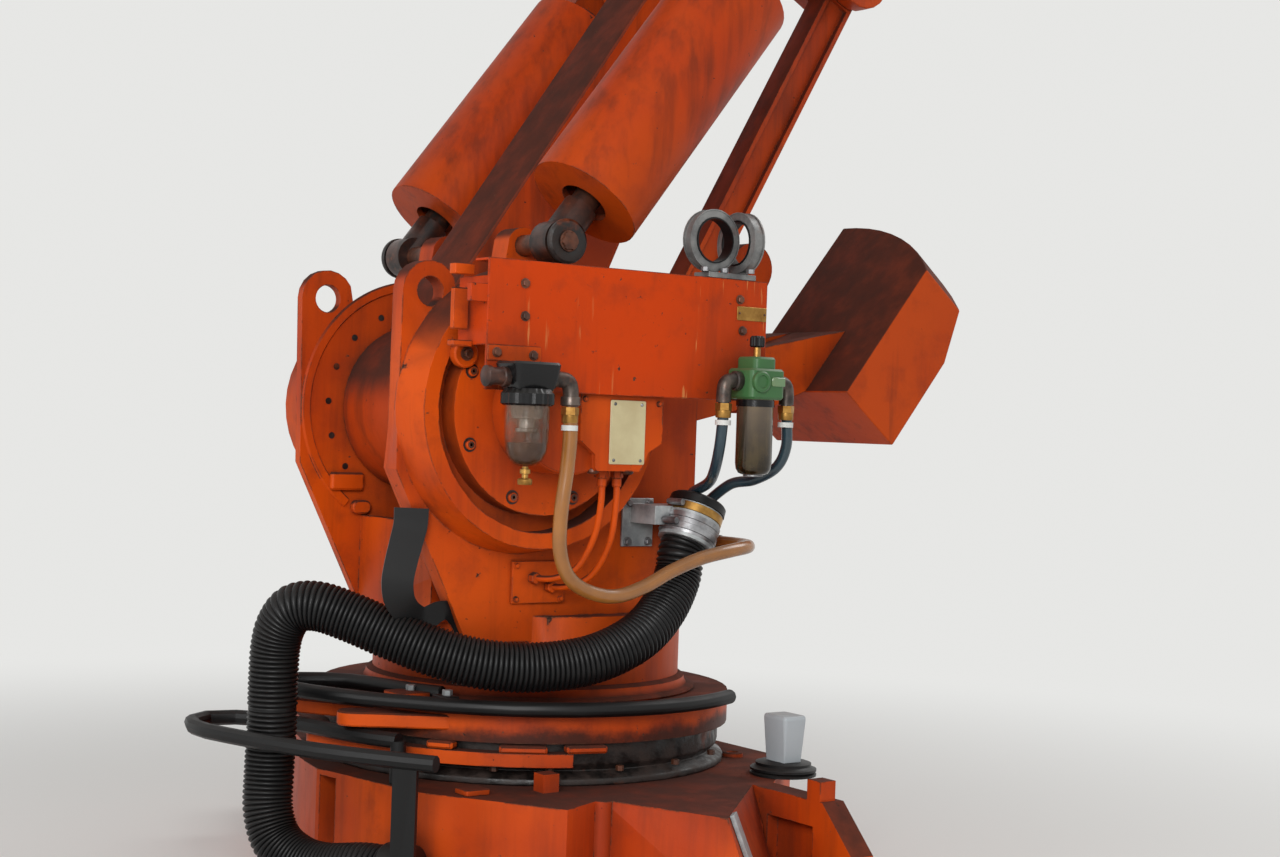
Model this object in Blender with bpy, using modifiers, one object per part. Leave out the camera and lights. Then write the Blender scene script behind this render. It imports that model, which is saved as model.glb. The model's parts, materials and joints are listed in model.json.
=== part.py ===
"""Industrial robot arm with a parallel-bar drive and two balancing cylinders, standing on its base.

Metres, +Z up. The origin is on the floor under the turning axis, +X is the robot's front and +Y its left side.
The arm stands as it was found: the lower arm leans back, the counterweight hangs behind the cheeks.
"""
import math

import bmesh
import bpy
from mathutils import Matrix, Vector

# Clearances and the reach of cutters and fused shapes
GAP = 0.0003
OVERRUN = 0.02
FUSE = 0.006
CUTTER_HALF = 0.5
ROUND_STEPS = 40
SMALL_STEPS = 24

# Base casting, seen in plan: a faceted front, a stepped chamfer and two feet on each side
DECK_Z = 0.24
BASE_FRONT = 0.430
BASE_NOSE_Y = 0.02
BASE_NOSE_X = 0.4525
BASE_FAR_Y = -0.10
BASE_TUCK_X = 0.38
BASE_TUCK_Y = -0.15
BASE_FACET_X = 0.400
BASE_FACET_Y = 0.30
CORNER_X = 0.253
CORNER_Y = 0.540
STEP_X = 0.149
STEP_Y = 0.488
TOE_X = 0.053
TOE_Y = 0.714
CROOK_X = -0.181
CROOK_Y = 0.489
HEEL_Y = 0.68
HEEL_KNEE_Y = 0.76
HEEL_KNEE_Z = 0.16
FOOT_END = 0.80
FOOT_PAD = 0.045
FOOT_REAR_X = -0.230
BASE_REAR = -0.43
BASE_REAR_HALF = 0.30
WEB_POCKET = 0.025
WEB_RIM = 0.045
FRONT_SLOT = 0.045
FRONT_SLOT_DEEP = 0.05
FRONT_SLOT_Y = 0.030
GUSSET_REACH = 0.12
GUSSET_THICK = 0.03
GUSSET_WAY = (-0.25, 1, 0)
STEP_RIB_R = 0.022
EAR_BLOCK = 0.035
DECK_BLOCK = 0.032
DECK_BLOCK_TURN = 63.14
DECK_BLOCK_STAND = 0.0416

# Slewing bearing and the stop arms round it
BEARING_R = 0.378
BEARING_TOP = 0.315
BEARING_LIP = 0.012
STOP_Z = 0.288
STOP_THICK = 0.024
STOP_WIDE = 0.032
STOP_ARM_OUT = 0.015
STOP_ARM_Y = -0.015
STOP_ARM_R = 0.030
STOP_ROOT_TURN = 23.5
STOP_ARM_TURNS = (0, -38)
STOP_FROM = -60
STOP_TO = 70

# Turning frame
FLANGE_LIP = 0.017
FLANGE_TOP = 0.375
NECK_STEP = 0.081
NECK_TOP = 0.53
AXIS_X = 0.188
AXIS_Z = 0.90
CHEEK_IN = 0.135
CHEEK_OUT = 0.255
CHEEK_PLATE = 0.030
RING_OUT = 0.33
RING_R = 0.244
RING_ROOT_R = 0.257
GROOVE_R = 0.2155
DISC_R = 0.1847
GROOVE_DEPTH = 0.045
FAR_DRUM_R = 0.185
CHEEK_FRONT = 0.440
CHEEK_BODY_FRONT = 0.400
CHEEK_REAR = -0.205
CHEEK_BOTTOM = 0.485
CHEEK_TOE_X = 0.287
CHEEK_TURN_Z = 0.79
CHEEK_HEEL = 0.085
CHEEK_REAR_TOP = 0.95
CHEEK_BEVEL = 0.03
CHEEK_INSET = 0.020
FAR_PLATE = 0.020
FAR_FRONT = 0.432
LUG_X = 0.385
LUG_Z = 1.100
LUG_R = 0.054
LUG_HOLE_R = 0.026
BODY_FRONT = 0.300
BODY_TOP = 0.69
BODY_HALF = 0.145
BODY_REAR = -0.20
BODY_REAR_TOP = 0.585
BODY_KNEE_X = 0.05

# Arm hub, lever and their shares of the room between the cheeks
HUB_R = 0.16
THRUST_R = 0.10
HUB_FAR = 0.130
HUB_NEAR = 0.070
LEVER_IN = 0.080
LEVER_OUT = 0.130
LEVER_HUB_R = 0.155

# Lower arm
LEAN = math.radians(29.5)
ARM_LENGTH = 1.05
ARM_HALF = 0.098
ARM_LOW_HALF_DEPTH = 0.150
ARM_TOP_HALF_DEPTH = 0.072
ARM_BOSS_R = 0.098
ARM_ROOT = 0.17
ARM_EDGE = 0.012
PIN_R = 0.045
PIN_HALF = 0.325
EAR_IN = 0.104
EAR_OUT = 0.160
EAR_R = 0.105

# Parallel bar and lever
LEVER_REACH = 0.4286
LEVER_RAISE = math.radians(6.3)
BAR_HALF = 0.030
BAR_DEPTH = 0.074
BAR_EYE_R = 0.055
BAR_PIN_R = 0.025
BAR_RIM = 0.011
BAR_CHANNEL = 0.012
EYE_GAP = 0.006
LEVER_EYE_R = 0.068
REAR_LUG = 0.040
HORN_X = -0.618
HORN_Z = 1.232
HORN_R = 0.055
HORN_ROOT_X = -0.46
HORN_ROOT_Z = 1.03
HORN_ROOT_R = 0.10
HORN_FAR = -0.190
HORN_NEAR = -0.105

# Counterweight: a round-topped slab, leaning, asymmetric across Y
WEIGHT_LEAN = math.radians(38.6)
WEIGHT_X = -0.580
WEIGHT_Z = 0.963
WEIGHT_THICK = 0.168
WEIGHT_NEAR = 0.258
WEIGHT_FAR = -0.115
WEIGHT_SIDE = 0.337
WEIGHT_TOP = 0.488
WEIGHT_CHAMFER = 0.10

# Balancing cylinders
CYL_Y = 0.27
CYL_R = 0.108
CYL_CLEAR = 0.012
CYL_BORE_R = 0.060
CYL_BORE = 0.50
CYL_CAP = 0.014
CYL_CAP_HOLE_R = 0.046
CYL_HEAD = 0.10
CYL_EYE_R = 0.062
CYL_EYE_HALF = 0.030
LOW_PIN_X = 0.141
LOW_PIN_Z = 1.204
LOW_PIN_R = 0.019
LOW_PIN_IN = 0.112
LOW_PIN_OUT = 0.312
LOW_LUG_R = 0.034
LOW_LUG_FOOT = 0.051
LOW_LUG_OUT = 0.165
ROD_R = 0.026
ROD_NECK_R = 0.033
ROD_NECK = 0.085
ROD_LENGTH = 0.36
ROD_EYE_R = 0.039
ROD_EYE_HALF = 0.026

# Upper arm
ELBOW_RISE = 0.24
TUBE_LENGTH = 0.80
TUBE_ROOT_R = 0.135
TUBE_END_R = 0.10
HOUSING_FRONT = 0.22
HOUSING_REAR = -0.30
HOUSING_HALF = 0.150
HOUSING_HEIGHT = 0.26
HOUSING_CLEAR = 0.012
HOUSING_BEVEL = 0.03
YOKE_LENGTH = 0.155
WRIST_R = 0.105
WRIST_HALF = 0.095
TOOL_REACH = 0.20
TOOL_THICK = 0.02
TOOL_R = 0.080
WRIST_MOTOR_R = 0.060
WRIST_MOTOR_LENGTH = 0.21
WRIST_MOTOR_SPREAD = 0.085
WRIST_MOTOR_RISE = 0.07
WRIST_MOTOR_DROP = 0.014

# Guard plate, its bracket and the pipe clamps on its edge
GUARD_Y = 0.45
GUARD_FRONT = 0.386
GUARD_REAR = -0.208
GUARD_LOW = 0.931
GUARD_TOP = 1.150
GUARD_THICK = 0.005
GUARD_LIP = 0.045
GUARD_RETURN = 0.095
GUARD_RETURN_LOW = 1.005
GUARD_RETURN_TOP = 1.120
POST_R = 0.012
STRIP_HEIGHT = 0.030
STRIP_THICK = 0.010
CLAMP_X = -0.092
CLAMP_RING_R = 0.054
CLAMP_BORE_R = 0.041
CLAMP_RISE = 0.068
CLAMP_FROM = -78
CLAMP_TO = 258
CLAMP_STEPS = 25
CLAMP_WIDE = 0.022
CLAMP_PITCH = 0.068
CLAMP_FOOT_END = 0.020
CLAMP_FOOT = 0.010

# Side motors and the terminal box under the guard
MOTOR_R = 0.110
MOTOR_LENGTH = 0.085
TERMINAL_FRONT = 0.130
TERMINAL_REAR = -0.040
TERMINAL_LOW = 0.800
TERMINAL_TOP = 0.985
TERMINAL_OUT = 0.432
COVER_X = 0.146
COVER_Z = 0.592
COVER_HALF_X = 0.056
COVER_HALF_Z = 0.038
COVER_THICK = 0.007
COVER_CORNER = 0.008

# Air filter and oiler
FILTER_X = 0.331
FILTER_R = 0.045
FILTER_LOW = 0.925
FILTER_TOP = 0.978
BOWL_R = 0.039
BOWL_LOW = 0.808
BOWL_NOSE = 0.033
BOWL_SHOULDER_Z = 0.8275
BOWL_TOE_R = 0.031
BOWL_TOE_Z = 0.8145
BOWL_FLOOR_R = 0.0195
DRAIN_R = 0.008
PORT_R = 0.016
PORT_Z = 0.952
PORT_REACH = 0.085
ELBOW_R = 0.0136
OILER_PORT_R = 0.0128
ELBOW_DROP = 0.045
OILER_X = -0.154
OILER_R = 0.042
OILER_LOW = 0.935
OILER_TOP = 1.010
OILER_PORT_Z = 0.972
OILER_PORT_REACH = 0.072
KNOB_R = 0.013
KNOB_TOP = 1.048
JAR_R = 0.033
JAR_LOW = 0.798

# Hoses, tubes and what holds them
HOSE_R = 0.044
HOSE_STEP = 1.25
AMBER_R = 0.0125
TEAL_R = 0.010
GREASE_R = 0.006
GUIDE_ROD = 0.014
COUPLING_R = 0.052
COUPLING_LENGTH = 0.085
SADDLE_X = -0.070
SADDLE_Z = 0.700
SADDLE_HALF_X = 0.035
SADDLE_HALF_Z = 0.045
SADDLE_PLATE = 0.006
OUTLET_X = -0.262
OUTLET_Z = 0.662
OUTLET_R = 0.014
OUTLET_LENGTH = 0.045
OUTLET_HALF = 0.040
OUTLET_PLATE = 0.008
OUTLET_Y = 0.222
FITTING_R = 0.050
FITTING_LENGTH = 0.055
STRAP_WIDE = 0.034
STRAP_THICK = 0.004
SEAT_X = -0.3028
SEAT_Y = 0.4288
SEAT_R = 0.062
SEAT_TOP = 0.265
SEAT_NECK_R = 0.050
SEAT_SHOULDER_Z = 0.255
SEAT_NECK_Z = 0.2575
PLUG_HALF_X = 0.027
PLUG_HALF_Y = 0.033
PLUG_TOP = 0.352
PLUG_CORNER = 0.008
RAIL_WIDE = 0.035
RAIL_THICK = 0.008
RAIL_LENGTH = 0.15

AXIS = Vector((AXIS_X, 0.0, AXIS_Z))
ELBOW = AXIS + ARM_LENGTH * Vector((-math.sin(LEAN), 0.0, math.cos(LEAN)))
LEVER_ARM = LEVER_REACH * Vector((-math.cos(LEVER_RAISE), 0.0, math.sin(LEVER_RAISE)))
LOW_PIN = Vector((LOW_PIN_X, 0.0, LOW_PIN_Z))
FLANGE_R = BEARING_R + FLANGE_LIP
NECK_R = BEARING_R - NECK_STEP
STOP_R = BEARING_R + STOP_WIDE
LIP_R = BEARING_R + BEARING_LIP
DECK_BLOCK_X = (LIP_R + DECK_BLOCK_STAND) * math.cos(math.radians(DECK_BLOCK_TURN))
DECK_BLOCK_Y = (LIP_R + DECK_BLOCK_STAND) * math.sin(math.radians(DECK_BLOCK_TURN))
FILTER_Y = GUARD_Y + GAP + FILTER_R
OILER_Y = GUARD_Y + GAP + OILER_R

# Routes of the hoses and guide rods, chosen along the picture
COUPLING_TOP = (-0.155, 0.335, 0.742)
COUPLING_WAY = (0.42, 0.09, -0.90)
HOSE_ROUTE = (
    (-0.098, 0.350, 0.600), (-0.050, 0.372, 0.545), (0.020, 0.392, 0.500), (0.110, 0.388, 0.466),
    (0.205, 0.362, 0.453), (0.290, 0.325, 0.457), (0.360, 0.280, 0.475), (0.420, 0.230, 0.501),
    (0.476, 0.180, 0.529), (0.521, 0.140, 0.546), (0.551, 0.108, 0.540), (0.564, 0.085, 0.509),
    (0.568, 0.074, 0.470), (0.569, 0.072, 0.420),
)
HOSE_SPLIT = (0.569, 0.072, 0.363)
LOWER_ROUTE = (
    (0.569, 0.072, 0.320), (0.571, 0.072, 0.250), (0.574, 0.080, 0.185), (0.566, 0.104, 0.135),
    (0.545, 0.148, 0.108), (0.520, 0.200, 0.102),
)
FITTING_ALONG = 0.028
FITTING_STAND = 0.056
FITTING_Z = 0.112
FITTING_SADDLE_HALF = 0.018
AMBER_ROUTE = (
    (0.244, 0.495, 0.855), (0.246, 0.492, 0.800), (0.252, 0.488, 0.730), (0.245, 0.478, 0.665),
    (0.218, 0.468, 0.618), (0.170, 0.460, 0.592), (0.110, 0.455, 0.583), (0.045, 0.448, 0.598),
    (-0.020, 0.440, 0.624), (-0.090, 0.432, 0.645), (-0.160, 0.425, 0.657), (-0.215, 0.405, 0.662),
    (-0.250, 0.365, 0.662), (-0.262, 0.320, 0.662),
)
TEAL_ROUTE_1 = (
    (-0.082, 0.492, 0.900), (-0.085, 0.482, 0.850), (-0.100, 0.450, 0.805), (-0.125, 0.400, 0.780),
)
TEAL_ROUTE_2 = (
    (-0.229, 0.492, 0.900), (-0.233, 0.488, 0.850), (-0.226, 0.470, 0.812), (-0.208, 0.430, 0.788),
    (-0.190, 0.385, 0.778),
)
GREASE_ROUTE_1 = ((0.104, 0.390, 0.740), (0.106, 0.375, 0.680), (0.118, 0.345, 0.625), (0.142, 0.310, 0.603))
GREASE_ROUTE_2 = ((0.072, 0.390, 0.740), (0.070, 0.372, 0.670), (0.080, 0.335, 0.610), (0.108, 0.300, 0.587))
GREASE_END_1 = (0.160, 0.600)
GREASE_END_2 = (0.125, 0.584)
GUIDE_ROUTE_FLANGE = 0.395
GUIDE_STAND = 0.030
GUIDE_ARC_Z = 0.380
GUIDE_ARC_FROM = 122
GUIDE_ARC_TO = 28
GUIDE_ARC_STEP = 12
GUIDE_LOOP = (
    (0.425, 0.150, 0.381), (0.470, 0.075, 0.383), (0.503, 0.005, 0.385), (0.505, -0.050, 0.387),
    (0.470, -0.082, 0.389), (0.415, -0.062, 0.3895), (0.368, -0.015, 0.3895), (0.345, 0.050, 0.3895),
    (0.325, 0.125, 0.3895), (0.295, 0.190, 0.3895),
)
LOWER_GUIDE_START = ((0.452, 0.447, 0.315), (0.4825, 0.4007, 0.315))
LOWER_GUIDE = (
    (0.522, 0.338, 0.315), (0.560, 0.270, 0.315), (0.590, 0.200, 0.315), (0.614, 0.130, 0.315),
    (0.638, 0.050, 0.315), (0.655, -0.030, 0.315), (0.646, -0.100, 0.315), (0.610, -0.145, 0.315),
    (0.558, -0.150, 0.315), (0.510, -0.112, 0.315), (0.478, -0.050, 0.315), (0.457, 0.020, 0.315),
    (0.444, 0.085, 0.315), (0.425, 0.152, 0.315), (0.395, 0.215, 0.315),
)
POST_AT = (0.4825, 0.4007)
POST_WIDE = 0.045
POST_THICK = 0.008
STRAP_ROUTE = (
    (0.4271, 0.237, 0.7589), (0.4178, 0.237, 0.7323), (0.432, 0.239, 0.700), (0.462, 0.246, 0.665),
    (0.490, 0.262, 0.625), (0.502, 0.275, 0.585), (0.496, 0.288, 0.549), (0.470, 0.286, 0.526),
    (0.443, 0.282, 0.532), (0.427, 0.276, 0.546),
)

PARTS = "industrial_robot_arm"
CUTTERS = "cutters"


def clear_scene():
    for obj in list(bpy.data.objects):
        bpy.data.objects.remove(obj, do_unlink=True)
    for name in (PARTS, CUTTERS):
        bpy.context.scene.collection.children.link(bpy.data.collections.new(name))


def material(name, colour, roughness, metallic=0.0):
    found = bpy.data.materials.get(name)
    if found:
        return found
    made = bpy.data.materials.new(name)
    made.use_nodes = True
    shader = made.node_tree.nodes["Principled BSDF"]
    shader.inputs["Base Color"].default_value = (*colour, 1.0)
    shader.inputs["Roughness"].default_value = roughness
    shader.inputs["Metallic"].default_value = metallic
    return made


def orange():
    return material("orange_paint", (0.56, 0.075, 0.012), 0.45)


def black():
    return material("black_rubber", (0.012, 0.012, 0.013), 0.6)


def steel():
    return material("dull_steel", (0.35, 0.35, 0.36), 0.4, 0.9)


def move_to(obj, collection):
    for old in list(obj.users_collection):
        old.objects.unlink(obj)
    bpy.data.collections[collection].objects.link(obj)


def new_object(name, mesh, matrix=None):
    obj = bpy.data.objects.new(name, mesh)
    bpy.data.collections[PARTS].objects.link(obj)
    if matrix is not None:
        obj.matrix_world = matrix
    return obj


def bake(obj):
    """Turns an object and its modifiers into a plain welded mesh, in place."""
    bpy.context.view_layer.update()
    evaluated = obj.evaluated_get(bpy.context.evaluated_depsgraph_get())
    mesh = bpy.data.meshes.new_from_object(evaluated)
    matrix = obj.matrix_world.copy()
    name = obj.name
    bpy.data.objects.remove(obj, do_unlink=True)
    shape = bmesh.new()
    shape.from_mesh(mesh)
    bmesh.ops.remove_doubles(shape, verts=shape.verts, dist=1e-5)
    bmesh.ops.recalc_face_normals(shape, faces=shape.faces)
    shape.to_mesh(mesh)
    shape.free()
    return new_object(name, mesh, matrix)


def placed(origin, x=(1, 0, 0), y=(0, 1, 0)):
    """Matrix whose local X and Y run along the given directions."""
    x = Vector(x).normalized()
    y = Vector(y).normalized()
    z = x.cross(y)
    turn = Matrix((x, y, z)).transposed().to_4x4()
    return Matrix.Translation(Vector(origin)) @ turn


def side_plane(y=0.0):
    """Local X and Y lie along world X and Z, local Z along world -Y."""
    return placed((0, y, 0), (1, 0, 0), (0, 0, 1))


def arc(cx, cy, radius, start, end, count):
    """Points of an arc, angles in degrees, anticlockwise positive."""
    angles = [math.radians(start + (end - start) * i / (count - 1)) for i in range(count)]
    return [(cx + radius * math.cos(a), cy + radius * math.sin(a)) for a in angles]


def circle(cx, cy, radius, count=ROUND_STEPS):
    return arc(cx, cy, radius, 0, 360 * (count - 1) / count, count)


def flat(name, outlines, thickness, matrix):
    """A flat plate from closed outlines, holes included, centred on its plane."""
    curve = bpy.data.curves.new(name, "CURVE")
    curve.dimensions = "2D"
    curve.fill_mode = "BOTH"
    curve.extrude = thickness / 2
    for outline in outlines:
        spline = curve.splines.new("POLY")
        spline.points.add(len(outline) - 1)
        for point, (x, y) in zip(spline.points, outline):
            point.co = (x, y, 0, 1)
        spline.use_cyclic_u = True
    return bake(new_object(name, curve, matrix))


def side_plate(name, outlines, y_low, y_high):
    """A plate in the X-Z plane between two Y values."""
    return flat(name, outlines, y_high - y_low, side_plane((y_low + y_high) / 2))


def turned(name, profile, matrix, steps=ROUND_STEPS):
    """A profile of (radius, height) turned about local Z."""
    mesh = bpy.data.meshes.new(name)
    shape = bmesh.new()
    points = [shape.verts.new((r, 0, z)) for r, z in profile]
    for a, b in zip(points, points[1:]):
        shape.edges.new((a, b))
    if profile[0][0] > 0:
        shape.edges.new((points[-1], points[0]))
    shape.to_mesh(mesh)
    shape.free()
    obj = new_object(name, mesh, matrix)
    screw = obj.modifiers.new("turn", "SCREW")
    screw.steps = steps
    screw.render_steps = steps
    screw.use_merge_vertices = True
    screw.merge_threshold = 0.00001
    return bake(obj)


def rod(name, start, end, radius, steps=ROUND_STEPS, end_radius=None):
    """A round bar or cone between two points."""
    start = Vector(start)
    end = Vector(end)
    along = end - start
    mesh = bpy.data.meshes.new(name)
    shape = bmesh.new()
    bmesh.ops.create_cone(
        shape, cap_ends=True, segments=steps, radius1=radius,
        radius2=radius if end_radius is None else end_radius, depth=along.length,
    )
    shape.to_mesh(mesh)
    shape.free()
    turn = along.to_track_quat("Z", "Y").to_matrix().to_4x4()
    return new_object(name, mesh, Matrix.Translation((start + end) / 2) @ turn)


def cross_rod(name, x, z, y_low, y_high, radius, steps=ROUND_STEPS):
    return rod(name, (x, y_low, z), (x, y_high, z), radius, steps)


def box(name, low, high, bevel=0.0):
    low = Vector(low)
    high = Vector(high)
    mesh = bpy.data.meshes.new(name)
    shape = bmesh.new()
    bmesh.ops.create_cube(shape, size=1.0, matrix=Matrix.Diagonal((*(high - low), 1.0)))
    shape.to_mesh(mesh)
    shape.free()
    obj = new_object(name, mesh, Matrix.Translation((low + high) / 2))
    if bevel:
        add_bevel(obj, bevel)
    return obj


def add_bevel(obj, width, segments=1, angle=40):
    bevel = obj.modifiers.new("round", "BEVEL")
    bevel.width = width
    bevel.segments = segments
    bevel.limit_method = "ANGLE"
    bevel.angle_limit = math.radians(angle)
    return obj


def combine(obj, others, operation):
    """Adds one exact Boolean for each other object, which becomes a hidden helper."""
    for other in others:
        move_to(other, CUTTERS)
        other.hide_render = True
        other.display_type = "WIRE"
        step = obj.modifiers.new(other.name, "BOOLEAN")
        step.operation = operation
        step.solver = "EXACT"
        step.object = other
    return obj


def fuse(obj, *others):
    return combine(obj, others, "UNION")


def cut(obj, *others):
    return combine(obj, others, "DIFFERENCE")


def smooth_points(points, spacing, led=False):
    """Points of a smooth curve through a route's own points, at an even spacing.
    A led route keeps its first and last stretch straight."""
    ends = [Vector(p) for p in points]
    if not led:
        ends = [2 * ends[0] - ends[1]] + ends + [2 * ends[-1] - ends[-2]]
    route = ends[1:-1]
    fine = []
    for a, b, c, d in zip(ends, ends[1:], ends[2:], ends[3:]):
        for i in range(24):
            t = i / 24
            fine.append(
                0.5 * (2 * b + (c - a) * t + (2 * a - 5 * b + 4 * c - d) * t * t
                       + (3 * b - a - 3 * c + d) * t * t * t)
            )
    fine.append(route[-1])
    total = sum((q - p).length for p, q in zip(fine, fine[1:]))
    count = max(2, round(total / spacing))
    even = [fine[0]]
    walked = 0.0
    for p, q in zip(fine, fine[1:]):
        step = (q - p).length
        while len(even) < count and walked + step >= total * len(even) / count:
            share = (total * len(even) / count - walked) / step
            even.append(p.lerp(q, share))
        walked += step
    even.append(fine[-1])
    return [ends[0]] + even + [ends[-1]] if led else even


def tube(name, points, radius, resolution=2):
    curve = bpy.data.curves.new(name, "CURVE")
    curve.dimensions = "3D"
    curve.bevel_depth = radius
    curve.bevel_resolution = resolution
    curve.use_fill_caps = True
    spline = curve.splines.new("POLY")
    spline.points.add(len(points) - 1)
    for point, place in zip(spline.points, points):
        point.co = (*place, 1)
    return new_object(name, curve)


def led(start, way, radius):
    """Two points that take a hose straight out of the fitting it starts in."""
    return [start, start + way * radius]


def beside_flange(route):
    """A guide rod's route, kept as far outside the flange as where it was laid out."""
    moved = []
    for x, y, z in route:
        spread = 1 + (FLANGE_R - GUIDE_ROUTE_FLANGE) / math.hypot(x, y)
        moved.append((x * spread, y * spread, z))
    return moved


def hose(name, route, radius, diameters=2.5, resolution=2):
    """A hose along a led route, with a point every so many diameters."""
    return tube(name, smooth_points(route, diameters * 2 * radius, True), radius, resolution)


def finish(obj, surface, body):
    """Gives a piece its material and hangs it on its body's empty, which stands on the joint's axis."""
    obj.data.materials.clear()
    obj.data.materials.append(surface)
    if obj.type == "MESH":
        obj.data.shade_smooth()
        obj.data.set_sharp_from_angle(angle=math.radians(30))
    pivot = bpy.data.objects[body]
    obj.parent = pivot
    obj.matrix_parent_inverse = pivot.matrix_world.inverted()
    return obj


def make_bodies():
    """One empty for each moving body, on its joint's axis, each hung on the body that carries it."""
    places = (
        ("base_body", (0, 0, 0), None),
        ("frame_body", (0, 0, BEARING_TOP), "base_body"),
        ("lower_arm_body", AXIS, "frame_body"),
        ("lever_body", AXIS, "frame_body"),
        ("rod_body", LOW_PIN, "frame_body"),
        ("lever_pin_body", AXIS + LEVER_ARM, "lever_body"),
        ("bar_body", AXIS + LEVER_ARM, "lever_pin_body"),
        ("cylinder_body", ELBOW, "lower_arm_body"),
        ("elbow_body", ELBOW, "lower_arm_body"),
        ("upper_arm_body", ELBOW, "elbow_body"),
    )
    for name, place, parent in places:
        empty = bpy.data.objects.new(name, None)
        bpy.data.collections[PARTS].objects.link(empty)
        empty.matrix_world = Matrix.Translation(Vector(place))
        if parent:
            carrier = bpy.data.objects[parent]
            empty.parent = carrier
            empty.matrix_parent_inverse = carrier.matrix_world.inverted()
    bpy.context.view_layer.update()


def on_lean(origin, lean):
    """Local X points forward, local Y up along a part that leans back by this angle."""
    return placed(origin, (math.cos(lean), 0, math.sin(lean)), (-math.sin(lean), 0, math.cos(lean)))


def hull(name, points):
    """The convex casting block that its corner points span."""
    mesh = bpy.data.meshes.new(name)
    shape = bmesh.new()
    for point in points:
        shape.verts.new(point)
    made = bmesh.ops.convex_hull(shape, input=shape.verts)
    unused = {v for v in made["geom_interior"] + made["geom_unused"] if isinstance(v, bmesh.types.BMVert)}
    bmesh.ops.delete(shape, geom=list(unused), context="VERTS")
    bmesh.ops.dissolve_limit(shape, angle_limit=math.radians(1), verts=shape.verts, edges=shape.edges)
    shape.to_mesh(mesh)
    shape.free()
    return new_object(name, mesh)


def base_outline():
    """Half of the base's plan, from the front edge round to the back."""
    return [
        (BASE_FACET_X, BASE_FACET_Y), (CORNER_X, CORNER_Y), (STEP_X, STEP_Y), (TOE_X, TOE_Y),
        (CROOK_X, CROOK_Y), (CROOK_X, HEEL_Y), (FOOT_REAR_X, HEEL_Y), (FOOT_REAR_X, CROOK_Y),
        (BASE_REAR, BASE_REAR_HALF),
    ]


def make_feet():
    """Two feet on each side: a faceted one in front, a sloping rib foot behind."""
    pieces = []
    heel = [
        (BASE_REAR_HALF, 0), (FOOT_END, 0), (FOOT_END, FOOT_PAD), (HEEL_KNEE_Y + FUSE, FOOT_PAD),
        (HEEL_KNEE_Y, HEEL_KNEE_Z), (HEEL_Y, DECK_Z), (BASE_REAR_HALF, DECK_Z),
    ]
    toe_share = (CROOK_X - TOE_X + FOOT_PAD) / (CROOK_X - TOE_X)
    crook_y = FOOT_END + (CROOK_Y - TOE_Y) * toe_share
    for side in (1, -1):
        front = [(x, side * y, z) for x, y in ((STEP_X, STEP_Y), (TOE_X, TOE_Y), (CROOK_X, CROOK_Y))
                 for z in (0, DECK_Z)]
        front += [(TOE_X - FOOT_PAD / 2, side * FOOT_END, z) for z in (0, FOOT_PAD)]
        front += [(CROOK_X + FOOT_PAD / 2, side * crook_y, z) for z in (0, FOOT_PAD)]
        pieces.append(hull("front_foot", front))
        low, high = sorted((side * STEP_Y, side * FOOT_END))
        pieces.append(box("front_pad", (CROOK_X + FOOT_PAD / 2, low, 0), (TOE_X, high, FOOT_PAD)))
        width = CROOK_X - FOOT_REAR_X
        matrix = placed(((CROOK_X + FOOT_REAR_X) / 2, 0, 0), (0, side, 0), (0, 0, 1))
        pieces.append(flat("rear_foot", [heel], width, matrix))
        cap = sorted((side * (HEEL_Y - FUSE), side * (HEEL_Y - FUSE - EAR_BLOCK)))
        pieces.append(
            box("heel_block", (CROOK_X - EAR_BLOCK, cap[0], DECK_Z - FUSE), (CROOK_X, cap[1], DECK_Z + EAR_BLOCK))
        )
    return pieces


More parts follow.
